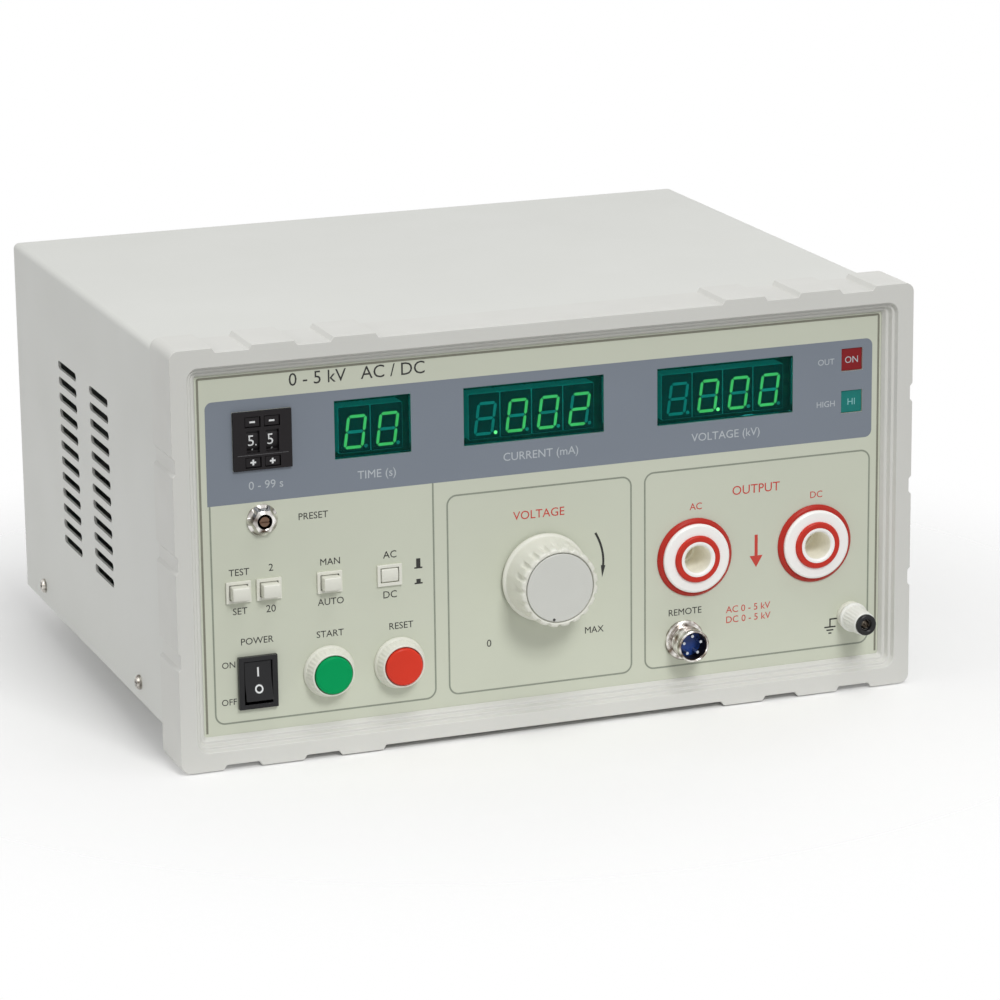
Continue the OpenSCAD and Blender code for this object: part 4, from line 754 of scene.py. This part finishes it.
# Remote connector's bright barrel with its thread
plug_at = place("connector_shell")
plug_flange_r, plug_out = half_height("connector_shell"), out_of("connector_shell")
plug_r = mounts["remote_connector"]["dims"]["r_mm"]
plug_bore, plug_body, plug_tail = plug_r - 1.1, plug_r - 0.6, depth_behind("connector_shell")
THREADS, THREAD_FROM, THREAD_PITCH, THREAD_D = 6, 3.4, 0.9, 0.16
thread = []
for k in range(THREADS):
    start = THREAD_FROM + k * THREAD_PITCH
    thread += [(plug_r, start), (plug_r, start + 0.35),
               (plug_r - THREAD_D, start + 0.55), (plug_r - THREAD_D, start + 0.7)]
turned("connector_barrel", [plug_at],
       [(plug_bore, -plug_tail), (plug_body, -plug_tail), (plug_body, -0.01), (plug_flange_r, -0.01),
        (plug_flange_r, 1.2), (plug_flange_r - 0.6, 1.8), (plug_r - 0.2, 1.8), (plug_r - 0.2, 3.0)] + thread
       + [(plug_r, plug_out - 2.0), (plug_r, plug_out - 0.5), (plug_r - 0.35, plug_out),
          (plug_bore + 0.35, plug_out), (plug_bore, plug_out - 0.5), (plug_bore, -plug_tail)],
       nickel, "tester", "nickel", ["connector_shell"], 0.15)

# A thin dark sheet inside the barrel's bore, from the insert forward: painted shade
BORE_SHADE_T = 0.12
insert_out, bore_shade_out = out_of("connector_insert") + 0.02, plug_out - 0.7
turned("connector_lining", [plug_at],
       [(plug_bore - BORE_SHADE_T, insert_out), (plug_bore - 0.01, insert_out), (plug_bore - 0.01, bore_shade_out),
        (plug_bore - BORE_SHADE_T, bore_shade_out), (plug_bore - BORE_SHADE_T, insert_out)],
       dark_plate, "tester", "nickel", radius=0.02)

# Earth post's nut with its black tip
post_at = place("ground_nut")
nut_back, nut_out = -depth_behind("ground_nut"), out_of("ground_nut")
nut_r = half_height("ground_nut")
tip_r, tip_out = half_height("ground_tip"), out_of("ground_tip")
STUD_R, SOCKET_R = 3.0, mounts["earth_socket"]["dims"]["r_mm"]
NUT_RIBS, KNURL_D = 24, 0.08
hole_r, tip_bore = STUD_R + 0.05, SOCKET_R + 0.2


def knurled(radius, out, angle):
    """The nut's radius with its shallow ribs between the flange and the tip."""
    if radius < STUD_R + 1 or not nut_back + 2.2 < out < nut_out - 0.9:
        return radius
    return radius - KNURL_D * (1 + math.cos(NUT_RIBS * angle))


NUT_FROM, NUT_TO = nut_back + 2.1, nut_out - 0.8
slope = [(nut_r - 0.6 + (tip_r + 0.4 - nut_r + 0.6) * t, NUT_FROM + (NUT_TO - NUT_FROM) * t)
         for t in (0, 0.03, 0.97, 1)]
turned("ground_nut_body", [post_at],
       [(hole_r, nut_back), (nut_r, nut_back), (nut_r, nut_back + 1.2), (nut_r - 0.5, nut_back + 1.7)]
       + slope + [(tip_r + 0.35, nut_out - 0.5), (tip_r, nut_out), (hole_r, nut_out), (hole_r, nut_back)],
       nut_white, "post_nut", "cream_plastic", ["ground_nut"], 0.3, 192, knurled)
turned("ground_tip_ring", [post_at],
       [(tip_bore, nut_out + 0.01), (tip_r, nut_out + 0.01), (tip_r, tip_out - 0.5), (tip_r - 0.5, tip_out),
        (SOCKET_R + 0.8, tip_out), (tip_bore, tip_out - 0.7), (tip_bore, nut_out + 0.01)],
       gloss_black, "post_nut", "black_plastic", ["ground_tip"], 0.3)

# Displays: one grey module with a dark face for each digit, and seven bars and a point on it
SEGMENT_ENDS = {
    "a": ((-1, 1), (1, 1)), "b": ((1, 1), (1, 0)), "c": ((1, 0), (1, -1)), "d": ((-1, -1), (1, -1)),
    "e": ((-1, 0), (-1, -1)), "f": ((-1, 1), (-1, 0)), "g": ((-1, 0), (1, 0)),
}
LIT_SEGMENTS = {"0": "abcdef", "2": "abged", " ": ""}
DIGIT_H, DIGIT_W, BAR_T, BAR_GAP, POINT_R, POINT_ASIDE = 13.8, 8.4, 1.2, 0.2, 0.75, 1.1
SLANT = math.tan(math.radians(8))
MODULE_W, MODULE_H, MODULE_GAP, MODULE_CORNER, FACE_IN = 13.6, 19.0, 0.06, 0.5, 0.18
module_back = -depth_behind("display_digits")
module_front = module_back + (high("display_digits").y - low("display_digits").y)
body_front, bar_front = module_front - 0.25, module_front + 0.08
face_back, face_front = module_front - 0.3, module_front - 0.01
half_w, half_h = MODULE_W / 2 - MODULE_GAP, MODULE_H / 2
bar_reach = Vector(((DIGIT_W - BAR_T) / 2, (DIGIT_H - BAR_T) / 2))
WINDOW_Z = place("display_windows")[1]
MODULE_Z = place("display_digits")[1]
DIGIT_X, DIGIT_Z = 0.4, MODULE_Z - 1.0
# Each window's middle, width and reading, and the digits that a lit point follows
READINGS = ((-74.9, 32.2, "00", ()), (-6.1, 60.6, " 002", (0,)), (78.0, 60.6, " 000", (1,)))


def bar(bm, first, last, x, z):
    """One bar of a digit, a six-sided shape that leans with the digit."""
    first, last = Vector(first), Vector(last)
    along = (last - first).normalized()
    across = Vector((-along.y, along.x)) * BAR_T / 2
    first, last = first + along * BAR_GAP, last - along * BAR_GAP
    step = along * BAR_T / 2
    outline = (first, first + step + across, last - step + across,
               last, last - step - across, first + step - across)
    prism(bm, [(x + p.x + p.y * SLANT, z + p.y) for p in outline], module_front, bar_front)


bodies, faces, on_bars, off_bars, on_points = (bmesh.new() for k in range(5))
for window_x, _, reading, points in READINGS:
    for k, sign in enumerate(reading):
        x = window_x + (k - (len(reading) - 1) / 2) * MODULE_W
        left, right, bottom, top = x - half_w, x + half_w, MODULE_Z - half_h, MODULE_Z + half_h
        prism(bodies, rounded_box(left, right, bottom, top, MODULE_CORNER, 3), module_back, body_front)
        prism(faces, rounded_box(left + FACE_IN, right - FACE_IN, bottom + FACE_IN, top - FACE_IN,
                                 MODULE_CORNER, 3), face_back, face_front)
        for name, ends in SEGMENT_ENDS.items():
            first, last = ((sx * bar_reach.x, sz * bar_reach.y) for sx, sz in ends)
            bar(on_bars if name in LIT_SEGMENTS[sign] else off_bars, first, last, x + DIGIT_X, DIGIT_Z)
        point = (x + DIGIT_X + DIGIT_W / 2 + POINT_ASIDE - (DIGIT_H / 2) * SLANT,
                 DIGIT_Z - DIGIT_H / 2 + POINT_R)
        prism(on_points if k in points else off_bars, arc(point, POINT_R, 0, 337.5, 15),
              module_front, bar_front)
# The modules' bodies carry a faint painted glow
finish_piece("digit_modules", bodies, module_grey, "tester", "digits", ["display_digits"])
finish_piece("digit_faces", faces, module_face, "tester", "digits")
finish_piece("digit_bars_lit", on_bars, segment_lit, "tester", "digits")
finish_piece("digit_points_lit", on_points, point_lit, "tester", "digits")
finish_piece("digit_bars_dark", off_bars, segment_off, "tester", "digits")

# Thumbwheel: numbers around both wheels, and minus and plus on the keys
WHEEL_STEP = math.tau / 10
SET_NUMBER, NUMBER_CAP, NUMBER_UP, NUMBER_LEFT, NUMBER_HIGH = 5, 4.5, 0.5, 0.5, 0.06
DOT_AT, DOT_R = (2.0, -2.0), 0.3
for name in ("tens_wheel", "units_wheel"):
    middle = (low(name) + high(name)) / 2
    wheel_r = half_height(name)
    bm = bmesh.new()
    for number in range(10):
        def on_wheel(u, v, out):
            angle = (v + NUMBER_UP) / wheel_r + (number - SET_NUMBER) * WHEEL_STEP
            radius = wheel_r + out
            return Vector((middle.x - NUMBER_LEFT + u, middle.y - radius * math.cos(angle),
                           middle.z + radius * math.sin(angle))) * MM
        letters(bm, str(number), NUMBER_CAP, on_wheel, far=NUMBER_HIGH)
        if name == "tens_wheel":
            prism(bm, arc(DOT_AT, DOT_R, 0, 337.5, 15), INK_LOW, NUMBER_HIGH, on_wheel)
    finish_piece(name + "_numbers", bm, ink_white, name, "black_plastic")
thumb_x, thumb_z = place("thumbwheel_housing")
SEAM_HALF, SEAM_DROP, SEAM_W = 10.5, 5.65, 0.16
bm = bmesh.new()
seam_z, seam_out = thumb_z - SEAM_DROP, out_of("thumbwheel_housing")
ribbon(bm, [(thumb_x - SEAM_HALF, seam_z), (thumb_x + SEAM_HALF, seam_z)], SEAM_W,
       near=seam_out + INK_LOW, far=seam_out + INK_HIGH)
finish_piece("thumbwheel_seam", bm, ink_seam, "tester", "black_plastic")
SIGN_W, SIGN_T = 1.15, 0.36
for side in ("tens", "units"):
    for sign in ("minus", "plus"):
        name = side + "_" + sign + "_key"
        bm = bmesh.new()
        bars = [bar_outline(SIGN_W, SIGN_T)]
        if sign == "plus":
            bars.append(bar_outline(SIGN_T, SIGN_W))
        for k, outline in enumerate(bars):
            prism(bm, outline, INK_LOW, INK_HIGH + 0.01 * k, on_front(name))
        finish_piece(name + "_sign", bm, ink_white, name, "black_plastic")

# Printed on the panel: the grey band around the displays, outlines, words, numbers and symbols
BAND = (-144.3, 144.3, 107.4, 149.6)
BAND_CORNER, BAND_HIGH, BAND_T, PALE_HIGH = 3.0, 0.03, 0.02, 0.06


def grid_cells(bm, box, holes, corner, height):
    """A rectangle with rectangular holes, as one flat sheet. All corners but the lower left are round."""
    left, right, bottom, top = box
    xs = sorted({left, right, left + corner, right - corner, *(x for hole in holes for x in hole[:2])})
    zs = sorted({bottom, bottom + corner, top, top - corner, *(z for hole in holes for z in hole[2:])})
    corners = {}

    def vertex(x, z):
        key = (round(x, 5), round(z, 5))
        if key not in corners:
            corners[key] = bm.verts.new(spot(x, z, height))
        return corners[key]

    for x0, x1 in zip(xs, xs[1:]):
        for z0, z1 in zip(zs, zs[1:]):
            if any(hole[0] <= x0 and x1 <= hole[1] and hole[2] <= z0 and z1 <= hole[3] for hole in holes):
                continue
            outline = [(x0, z0), (x1, z0), (x1, z1), (x0, z1)]
            if z1 == top and x0 == left:
                outline = [(x1, z0)] + arc((x1, z0), corner, 90, 180)
            elif z1 == top and x1 == right:
                outline = [(x0, z0)] + arc((x0, z0), corner, 0, 90)
            elif z0 == bottom and x1 == right:
                outline = [(x0, z1)] + arc((x0, z1), corner, 270, 360)
            bm.faces.new([vertex(x, z) for x, z in outline])


def box_about(at, width, height):
    """A rectangle about a place on the panel, as left, right, bottom and top."""
    return at[0] - width / 2, at[0] + width / 2, at[1] - height / 2, at[1] + height / 2


WINDOW_H, LAMP_W, HOLE_GAP = 24.0, 9.6, 0.1
first, last = low("thumbwheel_housing"), high("thumbwheel_housing")
band_holes = [(first.x - HOLE_GAP, last.x + HOLE_GAP, first.z - HOLE_GAP, last.z + HOLE_GAP)]
band_holes += [box_about((x, WINDOW_Z), width, WINDOW_H) for x, width, _, _ in READINGS]
band_holes += [box_about(place(lamp), LAMP_W, LAMP_W) for lamp in ("output_lamp", "limit_lamp")]
bm = bmesh.new()
grid_cells(bm, BAND, band_holes, BAND_CORNER, BAND_HIGH)
bmesh.ops.recalc_face_normals(bm, faces=bm.faces)
bmesh.ops.solidify(bm, geom=bm.faces[:], thickness=BAND_T * MM)
finish_piece("panel_band", bm, band_paint, "tester", "panel_paint")

LINE_W, LINE_CORNER = 0.7, 4.0
lines = bmesh.new()
LEFT, RIGHT, BOTTOM = -143.4, -50.0, 17.1
KNOB_BOX, OUTPUT_BOX = (-44.0, 36.0, 17.6, 101.3), (42.1, 143.5, 18.0, 101.8)
left_box = ([(LEFT, BAND[2])] + arc((LEFT + LINE_CORNER, BOTTOM + LINE_CORNER), LINE_CORNER, 180, 270)
            + arc((RIGHT - LINE_CORNER, BOTTOM + LINE_CORNER), LINE_CORNER, 270, 360) + [(RIGHT, BAND[2])])
ribbon(lines, left_box, LINE_W)
for box in (KNOB_BOX, OUTPUT_BOX):
    ribbon(lines, rounded_box(*box, LINE_CORNER, 8), LINE_W, True)
finish_piece("panel_outlines", lines, ink_line, "tester", "panel_paint")

# A dark line between the panel and the bezel's innermost step, at both sides and the top: a joint darkened
# as painted shadow under the step, so it leaves out the bottom
JOINT_SHADOW_W, JOINT_SHADOW_X, JOINT_SHADOW_LOW, JOINT_SHADOW_TOP, JOINT_SHADOW_CORNER = 0.9, 147.1, 13.7, 159.3, 0.6
bm = bmesh.new()
ribbon(bm, [(-JOINT_SHADOW_X, JOINT_SHADOW_LOW)]
       + arc((JOINT_SHADOW_CORNER - JOINT_SHADOW_X, JOINT_SHADOW_TOP - JOINT_SHADOW_CORNER), JOINT_SHADOW_CORNER, 180, 90, 4)
       + arc((JOINT_SHADOW_X - JOINT_SHADOW_CORNER, JOINT_SHADOW_TOP - JOINT_SHADOW_CORNER), JOINT_SHADOW_CORNER, 90, 0, 4)
       + [(JOINT_SHADOW_X, JOINT_SHADOW_LOW)], JOINT_SHADOW_W)
finish_piece("panel_joint", bm, ink_joint, "tester", "panel_paint")

# Words as text, place and height of capitals
BLACK_WORDS = (
    ("0 - 5 kV   AC / DC", -81.0, 155.9, 5.4), ("PRESET", -100.7, 99.6, 2.9),
    ("TEST", -132.1, 79.5, 2.9), ("SET", -132.1, 63.4, 2.9), ("2", -118.8, 80.1, 3.1),
    ("20", -119.2, 63.1, 3.1), ("MAN", -94.0, 79.8, 2.9), ("AUTO", -94.0, 63.2, 2.9),
    ("AC", -68.7, 79.9, 3.1), ("DC", -69.0, 63.2, 3.1), ("POWER", -125.4, 50.5, 2.9),
    ("ON", -137.4, 41.5, 2.7), ("OFF", -137.6, 26.0, 2.7), ("START", -94.7, 49.8, 2.9),
    ("RESET", -64.5, 49.7, 2.9), ("0", -26.7, 37.6, 3.2), ("MAX", 19.4, 38.1, 2.9),
    ("REMOTE", 60.0, 41.1, 2.9),
)
PALE_WORDS = (
    ("0 - 99 s", -119.9, 114.4, 3.5), ("TIME (s)", -73.5, 114.1, 3.5),
    ("CURRENT (mA)", -3.3, 115.2, 3.5), ("VOLTAGE (kV)", 78.3, 115.0, 3.5),
    ("OUT", 123.3, 141.2, 2.6), ("HIGH", 123.3, 123.3, 2.6),
)
RED_WORDS = (
    ("VOLTAGE", -4.4, 90.1, 3.7), ("OUTPUT", 91.9, 90.6, 4.0), ("AC", 64.9, 85.7, 3.0),
    ("DC", 119.3, 85.1, 3.0), ("AC 0 - 5 kV", 88.6, 39.6, 3.0), ("DC 0 - 5 kV", 88.6, 35.2, 3.0),
)
black, pale, red = bmesh.new(), bmesh.new(), bmesh.new()
for words, sheet, near, far in (
        (BLACK_WORDS, black, INK_LOW, INK_HIGH), (RED_WORDS, red, INK_LOW, INK_HIGH),
        (PALE_WORDS, pale, BAND_HIGH, PALE_HIGH)):
    for text, x, z, cap in words:
        letters(sheet, text, cap, at_panel(x, z), near, far)

# The latches' signs for out and in, and the arrow that says which way to turn the knob
SIGN_X, SIGN_FOOT, SIGN_HALF, FOOT_HALF = -56.7, 0.6, 0.9, 1.7
for foot, tall in ((72.6, 4.2), (66.1, 2.1)):
    half = [(FOOT_HALF, foot), (FOOT_HALF, foot + SIGN_FOOT),
            (SIGN_HALF, foot + SIGN_FOOT), (SIGN_HALF, foot + tall)]
    prism(black, mirrored(SIGN_X, half), INK_LOW, INK_HIGH)
ARROW = (Vector((20.2, 79.1)), Vector((24.2, 72.0)), Vector((23.55, 65.0)))
ARROW_W, ARROW_HEAD, HEAD_HALF = 0.95, 5.1, 1.0
curve_points = [ARROW[0] * (1 - t) ** 2 + ARROW[1] * 2 * t * (1 - t) + ARROW[2] * t ** 2
                for t in (k / 16 for k in range(17))]
ribbon(black, [tuple(point) for point in curve_points], ARROW_W)
heading = (ARROW[2] - ARROW[1]).normalized()
aside = Vector((-heading.y, heading.x)) * HEAD_HALF
prism(black, [tuple(p) for p in (ARROW[2] + aside, ARROW[2] + heading * ARROW_HEAD, ARROW[2] - aside)],
      INK_LOW, INK_HIGH)
# Plain arrow between the jacks
POINTER_X, POINTER_TOP, POINTER_NECK, POINTER_TIP, SHAFT_HALF, BARB_HALF = 92.1, 70.5, 61.5, 56.5, 0.7, 2.9
half = [(SHAFT_HALF, POINTER_TOP), (SHAFT_HALF, POINTER_NECK), (BARB_HALF, POINTER_NECK)]
prism(red, mirrored(POINTER_X, half, [POINTER_TIP]), INK_LOW, INK_HIGH)
# Earth symbol, with its line to the post
EARTH_X, EARTH_TOP, EARTH_Z, EARTH_STEP, EARTH_W, POST_EDGE = 126.25, 29.9, 26.5, 1.35, 0.6, 4.5
ribbon(black, [(post_at[0] - POST_EDGE, EARTH_TOP), (EARTH_X - EARTH_W / 2, EARTH_TOP)], EARTH_W)
ribbon(black, [(EARTH_X, EARTH_TOP), (EARTH_X, EARTH_Z)], EARTH_W)
for k, half in enumerate((2.6, 1.6, 0.7)):
    z = EARTH_Z - EARTH_STEP * k
    ribbon(black, [(EARTH_X - half, z), (EARTH_X + half, z)], EARTH_W)
finish_piece("panel_words_black", black, ink_black, "tester", "panel_paint")
finish_piece("panel_words_pale", pale, ink_pale, "tester", "panel_paint")
finish_piece("panel_words_red", red, ink_red, "tester", "panel_paint")
LAMP_CAP = 2.9
for node, text, paint, slot in (
        ("output_lamp", "ON", ink_pale, "red_lens"), ("limit_lamp", "HI", ink_teal, "green_lens")):
    bm = bmesh.new()
    letters(bm, text, LAMP_CAP, on_front(node))
    finish_piece(node + "_word", bm, paint, "tester", slot)

# Rocker switch: a bar and a ring, laid on the rocker's own surface
BAR_HALF, BAR_TALL, BAR_UP = 0.35, 1.9, 4.3
RING_R, RING_HOLE, RING_DOWN, RING_STEPS, RING_HIGH = 1.75, 1.1, 2.6, 36, 0.06
rocker_x, rocker_z = place("rocker_frame")
bm = bmesh.new()
laid = onto("power_rocker", rocker_x, rocker_z + BAR_UP)
prism(bm, bar_outline(BAR_HALF, BAR_TALL), INK_LOW, RING_HIGH, laid)
laid = onto("power_rocker", rocker_x, rocker_z - RING_DOWN)
loops = []
for radius in (RING_R, RING_HOLE):
    ring = arc((0, 0), radius, 0, 350, RING_STEPS - 1)
    loops += [[bm.verts.new(laid(u, v, out)) for u, v in ring] for out in (INK_LOW, RING_HIGH)]
for first, last in ((0, 1), (1, 3), (3, 2), (2, 0)):
    for k in range(RING_STEPS):
        j = (k + 1) % RING_STEPS
        bm.faces.new((loops[first][k], loops[first][j], loops[last][j], loops[last][k]))
finish_piece("rocker_signs", bm, ink_white, "power_rocker", "black_plastic")

# Rounded edges on the solids that show as they are
ROUNDED = (
    (0.5, ("front_bezel", "test_button", "range_button", "timer_button", "output_button",
           "rocker_frame")),
    (0.25, ("top_cover", "base_pan")),
    (0.2, ("rear_panel", "thumbwheel_housing")),
    (0.7, ("latch_switches",)),
    (0.35, ("power_rocker",)),
    (0.15, ("tens_minus_key", "tens_plus_key", "units_minus_key", "units_plus_key", "output_lamp",
            "limit_lamp")),
    (0.3, ("inlet_housing", "fuse_drawer", "ground_collar")),
    (0.12, ("case_screws",)),
    (0.4, ("rear_feet",)),
)
for width, names in ROUNDED:
    for name in names:
        soften(name, width)

# Studio
FLOOR_R, FLOOR_DROP, FADE_FROM, FADE_TO = 1.5, 0.0005, 0.12, 0.38
floor_bm = bmesh.new()
bmesh.ops.create_circle(floor_bm, cap_ends=True, radius=FLOOR_R, segments=96)
floor_mesh = bpy.data.meshes.new("floor")
floor_bm.to_mesh(floor_mesh)
floor_bm.free()
floor = bpy.data.objects.new("floor", floor_mesh)
floor.location = (0, 0, -FLOOR_DROP)
scene.collection.objects.link(floor)
floor_finish = Finish("floor_paper", 0.8).colour((0.95, 0.95, 0.945, 1.0), 0.004, 90.0)
fade = floor_finish.node("ShaderNodeMapRange", interpolation_type="SMOOTHSTEP")
fade.inputs["From Min"].default_value = FADE_FROM
fade.inputs["From Max"].default_value = FADE_TO
distance = floor_finish.node("ShaderNodeVectorMath", operation="LENGTH")
floor_finish.link(floor_finish.where, distance.inputs[0])
floor_finish.link(distance.outputs["Value"], fade.inputs["Value"])
clear = floor_finish.node("ShaderNodeBsdfTransparent")
mixed = floor_finish.node("ShaderNodeMixShader")
floor_finish.link(fade.outputs["Result"], mixed.inputs["Fac"])
floor_finish.link(floor_finish.shader.outputs["BSDF"], mixed.inputs[1])
floor_finish.link(clear.outputs["BSDF"], mixed.inputs[2])
floor_finish.link(mixed.outputs["Shader"], floor_finish.tree.nodes["Material Output"].inputs["Surface"])
floor_mesh.materials.append(floor_finish.material)

# White where the camera, a reflection or a clear piece shows it, and plain soft light for the rest
AMBIENT = 0.34
world = bpy.data.worlds.new("studio")
world.use_nodes = True
scene.world = world
tree = world.node_tree
backdrop = tree.nodes["Background"]
ambient = tree.nodes.new("ShaderNodeBackground")
for light, strength in ((backdrop, 1.0), (ambient, AMBIENT)):
    light.inputs["Color"].default_value = (1.0, 1.0, 1.0, 1.0)
    light.inputs["Strength"].default_value = strength
path = tree.nodes.new("ShaderNodeLightPath")
seen = tree.nodes.new("ShaderNodeMath")
shown = tree.nodes.new("ShaderNodeMath")
for larger in (seen, shown):
    larger.operation = "MAXIMUM"
mix = tree.nodes.new("ShaderNodeMixShader")
for source, target in (
        (path.outputs["Is Camera Ray"], seen.inputs[0]),
        (path.outputs["Is Glossy Ray"], seen.inputs[1]),
        (seen.outputs["Value"], shown.inputs[0]),
        (path.outputs["Is Transmission Ray"], shown.inputs[1]),
        (shown.outputs["Value"], mix.inputs["Fac"]),
        (ambient.outputs["Background"], mix.inputs[1]),
        (backdrop.outputs["Background"], mix.inputs[2]),
        (mix.outputs["Shader"], tree.nodes["World Output"].inputs["Surface"])):
    tree.links.new(source, target)


# The place in the tester that the lamps point at
LAMP_AIM = Vector((0, 0, 0.09))


def softbox(name, at, size, power):
    """A soft square lamp that points at the tester."""
    data = bpy.data.lights.new(name, "AREA")
    data.size = size
    data.energy = power
    lamp = bpy.data.objects.new(name, data)
    lamp.location = at
    lamp.rotation_mode = "QUATERNION"
    lamp.rotation_quaternion = (LAMP_AIM - Vector(at)).to_track_quat("-Z", "Y")
    scene.collection.objects.link(lamp)


softbox("top", (0.2, -0.45, 2.1), 0.9, 8.4)
softbox("front", (0.1, -1.7, 1.5), 0.6, 21.6)
softbox("left", (-2.0, -0.05, 0.95), 1.2, 11.8)
softbox("rear", (1.9, 1.6, 0.5), 1.2, 10.0)
